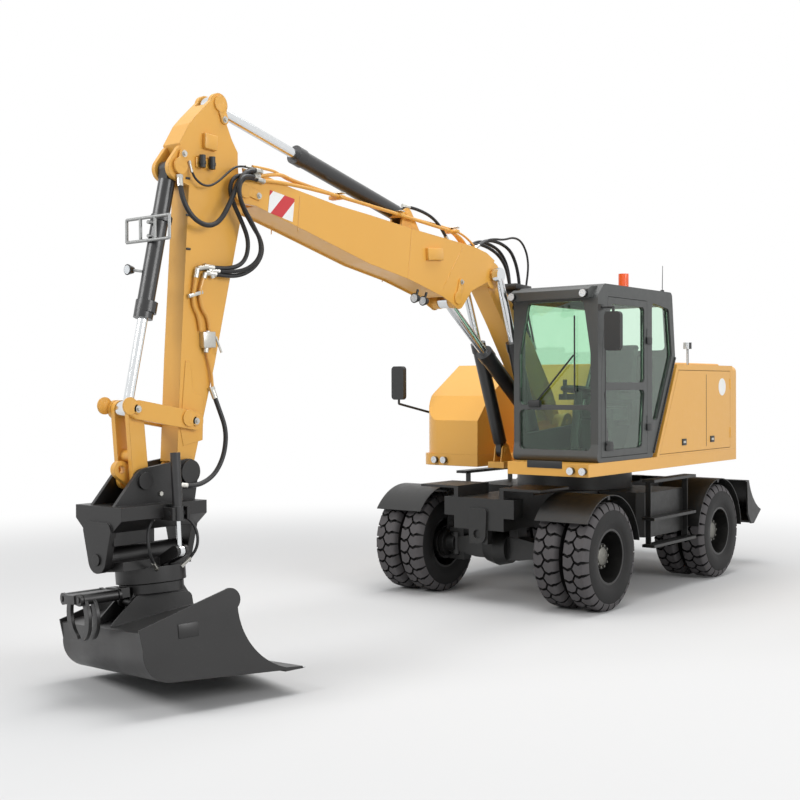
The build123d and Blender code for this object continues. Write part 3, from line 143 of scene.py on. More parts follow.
rimEnamel = sprayedEnamel("blackRimEnamel", dict(
    colour="#181716", shade="#121211", dustColour="#2f2d2a", dust=0.3, cloudMm=200, rough=0.4, peelMm=6,
    peelDepthMm=0.05, coat=0.12, coatRough=0.25, edgeMm=5))
barrelEnamel = sprayedEnamel("blackCylinderEnamel", dict(
    colour="#202021", shade="#1a1a1b", dustColour="#3b3a38", dust=0.15, cloudMm=250, rough=0.33, peelMm=6,
    peelDepthMm=0.04, coat=0.3, coatRough=0.2, edgeMm=4))


# Satin black paint on a digging tool: rubbed to a warm grey in patches by soil, with scratches along the
# bucket's width that are drawn several times as wide as the real ones, so that they show.
def rubbedToolPaint(name, look):
    material, tree, shader, place = startMaterial(name, Coat_Weight=0.1, Coat_Roughness=0.35)
    where = place.outputs["Object"]
    patch = addNode(tree, "ShaderNodeTexNoise",
                    {"Scale": 1000 / look["patchMm"], "Detail": 7.0, "Roughness": 0.62}, {"Vector": where})
    tone = addNode(tree, "ShaderNodeMix", {6: srgb(look["shade"]), 7: srgb(look["colour"])},
                   {0: patch.outputs["Fac"]}, data_type="RGBA")
    long = addNode(tree, "ShaderNodeMapping", {"Scale": (1.0, look["scratchPull"], 1.0)}, {"Vector": where})
    scratch = addNode(tree, "ShaderNodeTexNoise", {"Scale": 1000 / look["scratchMm"], "Detail": 3.0},
                      {"Vector": long.outputs["Vector"]})
    bare = addNode(tree, "ShaderNodeMapRange",
                   {"From Min": look["bareFrom"], "From Max": look["bareFull"], "To Max": look["bareMost"]},
                   {"Value": scratch.outputs["Fac"]})
    rubbed = addNode(tree, "ShaderNodeMix", {7: srgb(look["rubbed"])},
                     {0: bare.outputs["Result"], 6: tone.outputs[2]}, data_type="RGBA")
    tree.links.new(rubbed.outputs[2], shader.inputs["Base Color"])
    gloss = addNode(tree, "ShaderNodeMapRange",
                    {"From Min": 0.3, "From Max": 0.7, "To Min": look["rough"][0], "To Max": look["rough"][1]},
                    {"Value": patch.outputs["Fac"]})
    tree.links.new(gloss.outputs["Result"], shader.inputs["Roughness"])
    edge = addNode(tree, "ShaderNodeBevel", {"Radius": look["edgeMm"] / 1000}, samples=4)
    relief = addNode(tree, "ShaderNodeBump", {"Distance": look["scratchDepthMm"] / 1000, "Strength": 0.6},
                     {"Height": scratch.outputs["Fac"], "Normal": edge.outputs["Normal"]})
    tree.links.new(relief.outputs["Normal"], shader.inputs["Normal"])
    return material


bucketPaint = rubbedToolPaint("satinBlackToolPaint", dict(
    colour="#151414", shade="#100f0f", rubbed="#2b2827", patchMm=420, scratchMm=16, scratchPull=0.12,
    scratchDepthMm=0.12, bareFrom=0.62, bareFull=0.78, bareMost=0.5, rough=(0.34, 0.50), edgeMm=6))


metalGloss = dict(glossier=0.04, duller=0.06)


# Bare or plated metal: drawn or turned scratches too fine to see one by one, so only their gloss shows.
def bareMetal(name, look):
    material, tree, shader, place = startMaterial(name, Metallic=1.0)
    grain = addNode(tree, "ShaderNodeTexNoise", {"Scale": 1000 / look["grainMm"], "Detail": 4.0},
                    {"Vector": place.outputs["Object"]})
    tone = addNode(tree, "ShaderNodeMix", {6: srgb(look["shade"]), 7: srgb(look["colour"])},
                   {0: grain.outputs["Fac"]}, data_type="RGBA")
    tree.links.new(tone.outputs[2], shader.inputs["Base Color"])
    gloss = addNode(tree, "ShaderNodeMapRange", {"To Min": look["rough"] - metalGloss["glossier"],
                                                 "To Max": look["rough"] + metalGloss["duller"]},
                    {"Value": grain.outputs["Fac"]})
    tree.links.new(gloss.outputs["Result"], shader.inputs["Roughness"])
    return material


rodChrome = bareMetal("hardChromeRod", dict(colour="#e3e5e6", shade="#d6d9db", grainMm=30, rough=0.13))
galvanised = bareMetal("galvanisedBracket", dict(colour="#a3a4a3", shade="#8b8c8b", grainMm=18, rough=0.42))
fittingZinc = bareMetal("zincPlatedFitting", dict(colour="#cfcec8", shade="#b3b1aa", grainMm=12, rough=0.3))
engineIron = bareMetal("castIronBlock", dict(colour="#5c5b58", shade="#4b4a47", grainMm=8, rough=0.55))


rubberSkin = dict(glossier=0.08, duller=0.10, grainDepthMm=0.15)


# Vulcanised rubber: matt carbon black with the mould's fine grain; road dust greys what touches the ground.
def vulcanisedRubber(name, look):
    material, tree, shader, place = startMaterial(name, Specular_IOR_Level=0.35)
    where = place.outputs["Object"]
    dust = addNode(tree, "ShaderNodeTexNoise",
                   {"Scale": 1000 / look["dustMm"], "Detail": 5.0, "Roughness": 0.6}, {"Vector": where})
    tone = addNode(tree, "ShaderNodeMix", {6: srgb(look["shade"]), 7: srgb(look["colour"])},
                   {0: dust.outputs["Fac"]}, data_type="RGBA")
    tree.links.new(tone.outputs[2], shader.inputs["Base Color"])
    gloss = addNode(tree, "ShaderNodeMapRange", {"To Min": look["rough"] - rubberSkin["glossier"],
                                                 "To Max": look["rough"] + rubberSkin["duller"]},
                    {"Value": dust.outputs["Fac"]})
    tree.links.new(gloss.outputs["Result"], shader.inputs["Roughness"])
    grain = addNode(tree, "ShaderNodeTexNoise", {"Scale": 1000 / look["grainMm"], "Detail": 2.0},
                    {"Vector": where})
    relief = addNode(tree, "ShaderNodeBump", {"Distance": rubberSkin["grainDepthMm"] / 1000, "Strength": 0.5},
                     {"Height": grain.outputs["Fac"]})
    tree.links.new(relief.outputs["Normal"], shader.inputs["Normal"])
    return material


tyreSideRubber = vulcanisedRubber("carbonBlackTyreRubber", dict(
    colour="#171616", shade="#111010", dustMm=140, grainMm=4, rough=0.62))
treadRubber = vulcanisedRubber("dustyTreadRubber", dict(
    colour="#565354", shade="#474546", dustMm=60, grainMm=5, rough=0.75))
hoseRubber = vulcanisedRubber("extrudedHoseRubber", dict(
    colour="#262627", shade="#1c1c1d", dustMm=90, grainMm=3, rough=0.42))


plasticSkin = dict(cloudMm=90, glossier=0.05, duller=0.08, grainDepthMm=0.06)


# Injection moulded plastic: one tone with the fine spark eroded grain of its mould.
def mouldedPlastic(name, look):
    material, tree, shader, place = startMaterial(name)
    where = place.outputs["Object"]
    cloud = addNode(tree, "ShaderNodeTexNoise", {"Scale": 1000 / plasticSkin["cloudMm"], "Detail": 3.0},
                    {"Vector": where})
    tone = addNode(tree, "ShaderNodeMix", {6: srgb(look["shade"]), 7: srgb(look["colour"])},
                   {0: cloud.outputs["Fac"]}, data_type="RGBA")
    tree.links.new(tone.outputs[2], shader.inputs["Base Color"])
    gloss = addNode(tree, "ShaderNodeMapRange", {"To Min": look["rough"] - plasticSkin["glossier"],
                                                 "To Max": look["rough"] + plasticSkin["duller"]},
                    {"Value": cloud.outputs["Fac"]})
    tree.links.new(gloss.outputs["Result"], shader.inputs["Roughness"])
    grain = addNode(tree, "ShaderNodeTexNoise", {"Scale": 1000 / look["grainMm"], "Detail": 1.0},
                    {"Vector": where})
    relief = addNode(tree, "ShaderNodeBump", {"Distance": plasticSkin["grainDepthMm"] / 1000, "Strength": 0.5},
                     {"Height": grain.outputs["Fac"]})
    tree.links.new(relief.outputs["Normal"], shader.inputs["Normal"])
    return material


blackPlastic = mouldedPlastic("blackMouldedPlastic", dict(
    colour="#242525", shade="#1c1d1d", grainMm=2.5, rough=0.46))
platePlastic = mouldedPlastic("whiteVinylPlate", dict(
    colour="#f0f0ee", shade="#e6e6e4", grainMm=6, rough=0.4))


# Tempered safety glass: a green body tint, clean reflections and a faint haze of dust.
def temperedGlass(name, look):
    material, tree, shader, place = startMaterial(name, IOR=1.5, Transmission_Weight=1.0)
    haze = addNode(tree, "ShaderNodeTexNoise", {"Scale": 1000 / look["hazeMm"], "Detail": 3.0},
                   {"Vector": place.outputs["Object"]})
    tone = addNode(tree, "ShaderNodeMix", {6: srgb(look["shade"]), 7: srgb(look["colour"])},
                   {0: haze.outputs["Fac"]}, data_type="RGBA")
    tree.links.new(tone.outputs[2], shader.inputs["Base Color"])
    gloss = addNode(tree, "ShaderNodeMapRange", {"To Min": 0.0, "To Max": look["hazeRough"]},
                    {"Value": haze.outputs["Fac"]})
    tree.links.new(gloss.outputs["Result"], shader.inputs["Roughness"])
    material.surface_render_method = "BLENDED"
    return material


cabGlass = temperedGlass("greenTintedSafetyGlass", dict(
    colour="#d6f3de", shade="#cdeed6", hazeMm=260, hazeRough=0.02))


# Woven seat cloth: threads over and under each other in two close greys, drawn several times their real
# width so that the weave shows.
def wovenCloth(name, look):
    material, tree, shader, place = startMaterial(name, Roughness=0.85, Sheen_Weight=0.2)
    waveScale = 1000 / look["threadMm"] / 6.28  # a band and its gap come out about twice threadMm
    threads = [addNode(tree, "ShaderNodeTexWave", {"Scale": waveScale, "Distortion": 0.6},
                       {"Vector": place.outputs["Object"]}, bands_direction=axis).outputs["Fac"]
               for axis in "YZ"]
    weave = addNode(tree, "ShaderNodeMath", links={0: threads[0], 1: threads[1]}, operation="MULTIPLY")
    tone = addNode(tree, "ShaderNodeMix", {6: srgb(look["shade"]), 7: srgb(look["colour"])},
                   {0: weave.outputs[0]}, data_type="RGBA")
    tree.links.new(tone.outputs[2], shader.inputs["Base Color"])
    relief = addNode(tree, "ShaderNodeBump", {"Distance": look["threadDepthMm"] / 1000, "Strength": 0.6},
                     {"Height": weave.outputs[0]})
    tree.links.new(relief.outputs["Normal"], shader.inputs["Normal"])
    return material


seatCloth = wovenCloth("wovenSeatCloth", dict(
    colour="#4a4c50", shade="#2b2d30", threadMm=6.0, threadDepthMm=0.6))


# Lamps: a moulded polycarbonate lens over a bright reflector on the front face, a black housing behind it,
# and the amber dome of the beacon above the roof.
def lampMoulding(name, look):
    material, tree, shader, place = startMaterial(name, Roughness=0.18, Coat_Weight=0.5)
    cells = addNode(tree, "ShaderNodeTexVoronoi", {"Scale": 1000 / look["cellMm"]},
                    {"Vector": place.outputs["Object"]})
    lens = addNode(tree, "ShaderNodeMix", {6: srgb(look["lens"]), 7: srgb(look["lensShade"])},
                   {0: cells.outputs["Distance"]}, data_type="RGBA")
    facing = addNode(tree, "ShaderNodeSeparateXYZ", links={0: place.outputs["Normal"]})
    front = addNode(tree, "ShaderNodeMath", {1: look["frontLean"]}, {0: facing.outputs["X"]},
                    operation="GREATER_THAN")
    housed = addNode(tree, "ShaderNodeMix", {6: srgb(look["housing"])},
                     {0: front.outputs[0], 7: lens.outputs[2]}, data_type="RGBA")
    height = addNode(tree, "ShaderNodeSeparateXYZ", links={0: place.outputs["Object"]})
    above = addNode(tree, "ShaderNodeMath", {1: look["roofZ"]}, {0: height.outputs["Z"]},
                    operation="GREATER_THAN")
    beacon = addNode(tree, "ShaderNodeMix", {7: srgb(look["beacon"])},
                     {0: above.outputs[0], 6: housed.outputs[2]}, data_type="RGBA")
    tree.links.new(beacon.outputs[2], shader.inputs["Base Color"])
    relief = addNode(tree, "ShaderNodeBump", {"Distance": look["cellDepthMm"] / 1000, "Strength": 0.4},
                     {"Height": cells.outputs["Distance"]})
    tree.links.new(relief.outputs["Normal"], shader.inputs["Normal"])
    return material


lampLens = lampMoulding("polycarbonateLampLens", dict(
    lens="#f4f6f7", lensShade="#b9bfc4", housing="#1d1e1e", beacon="#f0590f", roofZ=3.17, frontLean=0.7,
    cellMm=9, cellDepthMm=0.8))


# Hazard film: retroreflective white with red bands at 45 degrees, 108 mm wide and 210 mm apart.
def hazardFilm(name, look):
    material, tree, shader, place = startMaterial(name, Coat_Weight=0.3)
    across = addNode(tree, "ShaderNodeVectorMath", {1: (look["slant"], 0.0, look["slant"])},
                     {0: place.outputs["Object"]}, operation="DOT_PRODUCT")
    low, high = look["middle"] - look["pitch"] / 2, look["middle"] + look["pitch"] / 2
    band = addNode(tree, "ShaderNodeMath", {1: low, 2: high}, {0: across.outputs["Value"]}, operation="WRAP")
    off = addNode(tree, "ShaderNodeMath", {1: look["middle"]}, {0: band.outputs[0]}, operation="SUBTRACT")
    size = addNode(tree, "ShaderNodeMath", links={0: off.outputs[0]}, operation="ABSOLUTE")
    red = addNode(tree, "ShaderNodeMath", {1: look["width"] / 2}, {0: size.outputs[0]}, operation="LESS_THAN")
    beads = addNode(tree, "ShaderNodeTexVoronoi", {"Scale": 1000 / look["beadMm"]},
                    {"Vector": place.outputs["Object"]})
    pale = addNode(tree, "ShaderNodeMix", {6: srgb(look["white"]), 7: srgb(look["whiteShade"])},
                   {0: beads.outputs["Distance"]}, data_type="RGBA")
    film = addNode(tree, "ShaderNodeMix", {7: srgb(look["red"])}, {0: red.outputs[0], 6: pale.outputs[2]},
                   data_type="RGBA")
    tree.links.new(film.outputs[2], shader.inputs["Base Color"])
    gloss = addNode(tree, "ShaderNodeMapRange", {"To Min": look["rough"][0], "To Max": look["rough"][1]},
                    {"Value": beads.outputs["Distance"]})
    tree.links.new(gloss.outputs["Result"], shader.inputs["Roughness"])
    return material


stripeFilm = hazardFilm("retroreflectiveStripeFilm", dict(
    middle=4.497, pitch=0.210, width=0.108, slant=0.7071, beadMm=5, rough=(0.28, 0.40), white="#f2f2f0",
    whiteShade="#e2e2e0", red="#c4262e"))

finishOf = {name: chassisEnamel for name in (
    "blade", "chassis_frame", "front_axle", "front_left_fender", "front_right_fender", "front_left_knuckle",
    "front_right_knuckle", "rear_axle", "rear_fenders", "side_steps")}
finishOf.update({name: bucketPaint for name in (
    "bucket", "gripper_frame", "gripper_left_claw", "gripper_right_claw", "rotator", "tilt_frame",
    "tiltrotator_coupler")})
finishOf.update({name: barrelEnamel for name in (
    "adjust_cylinder_barrel", "blade_cylinder_barrels", "bucket_cylinder_barrel", "lift_cylinder_barrels",
    "stick_cylinder_barrel", "tilt_left_barrel", "tilt_right_barrel")})
finishOf.update({name: rodChrome for name in (
    "adjust_cylinder_rod", "blade_cylinder_rods", "bucket_cylinder_rod", "lift_cylinder_rods",
    "stick_cylinder_rod", "tilt_left_rod", "tilt_right_rod")})
finishOf.update(cab_controls=blackPlastic, cab_door=cabEnamel, cab_door_glass=cabGlass, cab_glass=cabGlass,
                cab_shell=cabEnamel, engine_block=engineIron, lamps=lampLens, mirrors=blackPlastic,
                seat_cushions=seatCloth)
wheelCorners = ("front_left", "front_right", "rear_left", "rear_right")
for corner in wheelCorners:
    finishOf[corner + "_tyres"] = tyreSideRubber
    finishOf[corner + "_wheels"] = rimEnamel
for name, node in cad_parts.items():
    node.data.materials.clear()
    node.data.materials.append(finishOf.get(name, bodyEnamel))
print("finishes on", len(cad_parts), "nodes")

meshFinish = dict(weld=0.00001, sharpDegrees=34)


def finishPiece(work, name, body, *materials):  # a bmesh becomes a clean mesh object that rides on a body
    bmesh.ops.remove_doubles(work, verts=work.verts, dist=meshFinish["weld"])
    bmesh.ops.recalc_face_normals(work, faces=work.faces)
    mesh = bpy.data.meshes.new(name)
    work.to_mesh(mesh)
    work.free()
    for material in materials:
        mesh.materials.append(material)
    mesh.shade_smooth()
    mesh.set_sharp_from_angle(angle=radians(meshFinish["sharpDegrees"]))
    piece = bpy.data.objects.new(name, mesh)
    bpy.context.scene.collection.objects.link(piece)
    if body:
        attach(piece, body)
    return piece


def addBar(work, start, end, radius, segments=14, endRadius=None):  # a round bar between two points
    start, end = Vector(start), Vector(end)
    turn = (end - start).to_track_quat("Z", "Y").to_matrix().to_4x4()
    bmesh.ops.create_cone(work, cap_ends=True, segments=segments, radius1=radius,
                          radius2=radius if endRadius is None else endRadius, depth=(end - start).length,
                          matrix=Matrix.Translation((start + end) / 2) @ turn)


def addBand(work, start, end, inner, outer, steps=32):  # a hollow ring round a line in the x-z plane
    start, end = Vector(start), Vector(end)
    corners = [work.verts.new(spot + Vector((0, reach, 0)))
               for spot, reach in ((start, inner), (start, outer), (end, outer), (end, inner))]
    edges = [work.edges.new((corners[i - 1], corners[i])) for i in range(4)]
    bmesh.ops.spin(work, geom=corners + edges, cent=start, axis=(end - start).normalized(), angle=2 * pi,
                   steps=steps, use_merge=True)


def addBlock(work, centre, size, soft=0.004, turn=0.0):  # a block with softened edges, turned about y
    place = (Matrix.Translation(centre) @ Matrix.Rotation(turn, 4, "Y") @ Matrix.Diagonal((*size, 1.0)))
    made = bmesh.ops.create_cube(work, size=1.0, matrix=place)
    edges = list({edge for vert in made["verts"] for edge in vert.link_edges})
    bmesh.ops.bevel(work, geom=edges, offset=soft, affect="EDGES", segments=2, profile=0.5, material=-1)


def addPlate(work, outline, near, far):  # a flat plate in the x-z plane between two values of y
    face = work.faces.new([work.verts.new((x, near, z)) for x, z in outline])
    made = bmesh.ops.extrude_face_region(work, geom=[face])
    raised = [item for item in made["geom"] if isinstance(item, bmesh.types.BMVert)]
    bmesh.ops.translate(work, verts=raised, vec=(0, far - near, 0))


tyreLook = dict(blocks=26, halfWidth=0.139, treadTop=0.5235, treadBase=0.482, groove=0.0145, tip=0.020,
                kink=0.016, kinkAt=0.058, blockEnd=0.0955, endLean=0.2, carcassSteps=72,
                section=[(0.262, -0.100), (0.272, -0.118), (0.292, -0.127), (0.307, -0.129), (0.316, -0.135),
                         (0.377, -0.138), (0.430, -0.136), (0.456, -0.130), (0.480, -0.112), (0.488, -0.085),
                         (0.490, 0.0), (0.488, 0.085), (0.480, 0.112), (0.456, 0.130), (0.430, 0.136),
                         (0.377, 0.138), (0.316, 0.135), (0.307, 0.129), (0.292, 0.127), (0.272, 0.118),
                         (0.262, 0.100)],  # radius and place across the tyre
                shoulder=[(0.095, 0.5235), (0.104, 0.519), (0.124, 0.492), (0.137, 0.455), (0.126, 0.446),
                          (0.095, 0.482)])  # place across the tyre and radius


def makeTyres(corner):  # twin tyres: spun carcasses and two staggered rows of blocks round each
    look = tyreLook
    low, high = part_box(corner + "_tyres")
    axle = Vector(((low[0] + high[0]) / 2, 0.0, (low[2] + high[2]) / 2))
    step = 2 * pi / look["blocks"]
    wide, slip = step * look["treadTop"] / 2 - look["groove"], look["kink"]  # half a block's length round
    lean = look["endLean"] * slip
    outline = [(0.0, -look["tip"] + look["groove"]), (wide, look["tip"]), (wide + slip, look["kinkAt"]),
               (wide - lean, look["blockEnd"]), (-wide - lean, look["blockEnd"]),
               (-wide + slip, look["kinkAt"]), (-wide, look["tip"])]
    work = bmesh.new()
    for middle in (low[1] + look["halfWidth"], high[1] - look["halfWidth"]):
        ring = [work.verts.new((axle.x, middle + y, axle.z + radius)) for radius, y in look["section"]]
        loop = [work.edges.new((ring[i - 1], ring[i])) for i in range(len(ring))]
        bmesh.ops.spin(work, geom=ring + loop, cent=axle, axis=(0, 1, 0), angle=2 * pi,
                       steps=look["carcassSteps"], use_merge=True)
        for row in (1, -1):
            face = work.faces.new([work.verts.new((axle.x + u, middle + row * v, axle.z + look["treadBase"]))
                                   for u, v in outline])
            lifted = bmesh.ops.extrude_face_region(work, geom=[face])["geom"]
            tops = [item for item in lifted if isinstance(item, bmesh.types.BMVert)]
            bmesh.ops.translate(work, verts=tops, vec=(0, 0, look["treadTop"] - look["treadBase"]))
            for item in lifted:
                if isinstance(item, bmesh.types.BMFace):
                    item.material_index = 1
            side = work.faces.new([work.verts.new((axle.x - wide, middle + row * y, axle.z + radius))
                                   for y, radius in look["shoulder"]])
            pulled = bmesh.ops.extrude_face_region(work, geom=[side])["geom"]
            shifted = [item for item in pulled if isinstance(item, bmesh.types.BMVert)]
            bmesh.ops.translate(work, verts=shifted, vec=(2 * wide, 0, 0))
            block = {item for vert in tops + shifted for near in vert.link_faces for item in near.verts}
            faces = {item for vert in block for item in vert.link_faces}
            for item in faces:  # dust greys the shoulder's outer faces too
                item.normal_update()
                if abs(item.normal.x) < 0.5 and len(item.verts) == 4 and abs(item.normal.z) > 0.25:
                    item.material_index = 1
            if row < 0:
                bmesh.ops.rotate(work, verts=list(block), cent=axle, matrix=Matrix.Rotation(step / 2, 3, "Y"))
            geom = list(block) + list({edge for vert in block for edge in vert.link_edges}) + list(faces)
            bmesh.ops.spin(work, geom=geom, cent=axle, axis=(0, 1, 0), angle=step * (look["blocks"] - 1),
                           steps=look["blocks"] - 1, use_duplicate=True)
    tyres = finishPiece(work, corner + "Tyres", corner + "_wheel", tyreSideRubber, treadRubber)
    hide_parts(corner + "_tyres")


for corner in wheelCorners:
    makeTyres(corner)
print("tyres made")

hubLook = dict(faceIn=0.096, capRadius=0.088, capThick=0.012, domeTop=0.022, domeShare=0.8, nutCircle=0.106,
               nuts=10, nutRadius=0.013, nutHeight=0.016)
hubCast = bareMetal("zincFlakeHubCap", dict(colour="#8d8c86", shade="#6f6e69", grainMm=14, rough=0.5))


def makeHub(corner):  # a domed cap and a ring of nuts on each hub
    look = hubLook
    low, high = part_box(corner + "_wheels")
    side = 1 if high[1] > 0 else -1
    face = (high[1] if side > 0 else low[1]) - side * look["faceIn"]
    axle = Vector(((low[0] + high[0]) / 2, face, (low[2] + high[2]) / 2))
    out = Vector((0, side, 0))
    rim, dome, radius = axle + out * look["capThick"], axle + out * look["domeTop"], look["capRadius"]
    work = bmesh.new()
    addBar(work, axle, rim, radius, 40)
    addBar(work, rim, dome, radius, 40, radius * look["domeShare"])
    for number in range(look["nuts"]):
        turn = 2 * pi * number / look["nuts"]
        spot = axle + Vector((cos(turn), 0, sin(turn))) * look["nutCircle"]
        addBar(work, spot, spot + out * look["nutHeight"], look["nutRadius"], 6)
    hub = finishPiece(work, corner + "HubCap", corner + "_wheel", hubCast)


for corner in wheelCorners:
    makeHub(corner)
print("hub caps made")


def makeTube(name, points, diameter, material):  # a mesh tube on a smooth route, and the points it follows
    route = bpy.data.curves.new(name + "Route", "CURVE")
    route.dimensions = "3D"
    route.resolution_u = 12
    spline = route.splines.new("NURBS")
    spline.points.add(len(points) - 1)
    for control, spot in zip(spline.points, points):
        control.co = (*spot, 1.0)
    spline.order_u = 3
    spline.use_endpoint_u = True
    carrier = bpy.data.objects.new(name + "Route", route)
    path = [vert.co.copy() for vert in bpy.data.meshes.new_from_object(carrier).vertices]
    route.bevel_depth = diameter / 2
    route.bevel_resolution = 3
    route.use_fill_caps = True
    work = bmesh.new()
    work.from_mesh(bpy.data.meshes.new_from_object(carrier))
    bpy.data.objects.remove(carrier)
    return finishPiece(work, name, None, material), path


# Hoses: name, bodies it joins, diameter and length in metres, and the points of its route.
hoses = [
    dict(name="noseHoseOuter", bodies=("upper_boom", "stick"), diameter=0.034, length=1.41, points=[
        (3.010, 0.172, 3.786), (3.110, 0.185, 3.790), (3.225, 0.200, 3.778), (3.285, 0.205, 3.690),
        (3.254, 0.210, 3.558), (3.149, 0.212, 3.425), (3.053, 0.212, 3.319), (3.032, 0.208, 3.213),
        (3.109, 0.195, 3.098), (3.237, 0.172, 3.030), (3.380, 0.140, 3.022), (3.500, 0.115, 3.034)]),
    dict(name="noseHoseInner", bodies=("upper_boom", "stick"), diameter=0.034, length=1.29, points=[
        (3.040, 0.150, 3.822), (3.150, 0.158, 3.815), (3.290, 0.165, 3.781), (3.345, 0.170, 3.690),
        (3.308, 0.172, 3.576), (3.220, 0.175, 3.443), (3.150, 0.175, 3.312), (3.165, 0.172, 3.180),
        (3.240, 0.160, 3.100), (3.394, 0.135, 3.072), (3.520, 0.115, 3.080)]),
    dict(name="noseHoseMiddle", bodies=("upper_boom", "stick"), diameter=0.030, length=1.32, points=[
        (3.060, 0.176, 3.800), (3.170, 0.215, 3.800), (3.300, 0.250, 3.765), (3.335, 0.252, 3.660),
        (3.280, 0.255, 3.540), (3.180, 0.256, 3.420), (3.098, 0.255, 3.300), (3.100, 0.250, 3.180),
        (3.190, 0.222, 3.085), (3.330, 0.165, 3.048), (3.470, 0.118, 3.056)]),
    dict(name="stickLoopHose", bodies=("stick", "upper_boom"), diameter=0.038, length=1.23, points=[
        (3.786, 0.114, 3.694), (3.797, 0.140, 3.600), (3.779, 0.170, 3.495), (3.712, 0.190, 3.405),
        (3.595, 0.205, 3.365), (3.485, 0.212, 3.410), (3.385, 0.212, 3.550), (3.312, 0.210, 3.690),
        (3.235, 0.205, 3.795), (3.149, 0.190, 3.850), (3.030, 0.165, 3.856)]),
    dict(name="thinLoopHose", bodies=("stick", "upper_boom"), diameter=0.017, length=0.71, points=[
        (3.684, 0.115, 3.813), (3.676, 0.130, 3.744), (3.623, 0.145, 3.686), (3.544, 0.160, 3.670),
        (3.453, 0.170, 3.719), (3.350, 0.178, 3.812), (3.256, 0.178, 3.870), (3.118, 0.160, 3.874)]),
    dict(name="stickToolHose", bodies=("stick", "coupler"), diameter=0.036, length=0.99, points=[
        (3.476, 0.116, 2.150), (3.436, 0.140, 2.020), (3.395, 0.175, 1.860), (3.420, 0.185, 1.692),
        (3.499, 0.190, 1.561), (3.590, 0.186, 1.492), (3.708, 0.172, 1.455), (3.832, 0.153, 1.470)]),
    dict(name="rearHoseFirst", bodies=("upper_boom", "lower_boom"), diameter=0.034, length=1.48, points=[
        (0.020, 0.030, 3.544), (-0.160, 0.030, 3.606), (-0.340, 0.030, 3.590), (-0.520, 0.030, 3.540),
        (-0.650, 0.030, 3.455), (-0.720, 0.030, 3.350), (-0.765, 0.030, 3.200), (-0.810, 0.030, 3.050),
        (-0.890, 0.030, 2.900), (-0.985, 0.030, 2.765)]),
    dict(name="rearHoseSecond", bodies=("upper_boom", "lower_boom"), diameter=0.034, length=1.63, points=[
        (-0.010, -0.015, 3.536), (-0.200, -0.015, 3.636), (-0.400, -0.015, 3.638), (-0.610, -0.015, 3.592),
        (-0.735, -0.015, 3.500), (-0.805, -0.015, 3.380), (-0.835, -0.015, 3.200), (-0.870, -0.015, 3.040),
        (-0.950, -0.015, 2.870), (-1.045, -0.015, 2.705)]),
    dict(name="rearHoseThird", bodies=("upper_boom", "lower_boom"), diameter=0.034, length=1.72, points=[
        (-0.030, 0.075, 3.530), (-0.180, 0.075, 3.620), (-0.330, 0.075, 3.650), (-0.520, 0.075, 3.640),
        (-0.700, 0.075, 3.584), (-0.800, 0.075, 3.470), (-0.855, 0.075, 3.340), (-0.878, 0.075, 3.200),
        (-0.915, 0.075, 3.030), (-1.000, 0.075, 2.850), (-1.095, 0.075, 2.652)]),
    dict(name="rearHoseHigh", bodies=("upper_boom", "lower_boom"), diameter=0.022, length=2.00, points=[
        (-0.020, 0.120, 3.545), (-0.190, 0.118, 3.632), (-0.340, 0.112, 3.662), (-0.520, 0.115, 3.668),
        (-0.690, 0.120, 3.712), (-0.837, 0.120, 3.690), (-0.940, 0.120, 3.590), (-0.978, 0.120, 3.470),
        (-0.975, 0.115, 3.350), (-0.950, 0.105, 3.200), (-0.980, 0.098, 3.000), (-1.060, 0.096, 2.800),
        (-1.140, 0.094, 2.604)]),
    dict(name="stickCylinderHose", bodies=("stick_barrel", "upper_boom"), diameter=0.030, length=0.67,
         points=[
        (0.990, 0.020, 3.840), (0.900, 0.040, 3.835), (0.760, 0.060, 3.810), (0.629, 0.070, 3.770),
        (0.500, 0.075, 3.690), (0.400, 0.075, 3.580)]),
    dict(name="toolHoseFront", bodies=("coupler", "tilt_frame"), diameter=0.022, length=0.46, points=[
        (4.100, 0.205, 1.270), (4.170, 0.230, 1.240), (4.230, 0.262, 1.160), (4.235, 0.285, 1.060),
        (4.200, 0.275, 0.975), (4.140, 0.240, 0.920)]),
    dict(name="toolHoseRear", bodies=("coupler", "tilt_frame"), diameter=0.022, length=0.44, points=[
        (3.890, 0.205, 1.270), (3.820, 0.235, 1.235), (3.780, 0.270, 1.150), (3.790, 0.295, 1.050),
        (3.830, 0.280, 0.970), (3.880, 0.252, 0.920)]),
]


# The crimped sleeve at each hose end and the nut behind it: lengths in metres, widths as shares of the hose's.
sleeveLook = dict(behind=0.012, reach=0.055, width=0.62, nutBack=0.034, nutFront=0.010, nutWidth=0.72)


def makeHose(hose):
    tube, path = makeTube(hose["name"], hose["points"], hose["diameter"], hoseRubber)
    measured = sum((path[i] - path[i - 1]).length for i in range(1, len(path)))
    print("hose", hose["name"], round(measured, 3), "m")
    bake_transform(tube)
    for end, near, body in ((0, 1, hose["bodies"][0]), (-1, -2, hose["bodies"][1])):
        spot, inward = Vector(hose["points"][end]), Vector(hose["points"][near])
        along = (inward - spot).normalized()
        work = crimps.setdefault(body, bmesh.new())
        addBar(work, spot - along * sleeveLook["behind"], spot + along * sleeveLook["reach"],
               hose["diameter"] * sleeveLook["width"], 16)
        addBar(work, spot - along * sleeveLook["nutBack"], spot - along * sleeveLook["nutFront"],
               hose["diameter"] * sleeveLook["nutWidth"], 6)


crimps = {}
for hose in hoses:
    makeHose(hose)
for body, work in crimps.items():
    sleeves = finishPiece(work, "hoseSleeves_" + body, body, fittingZinc)
print("hoses made")

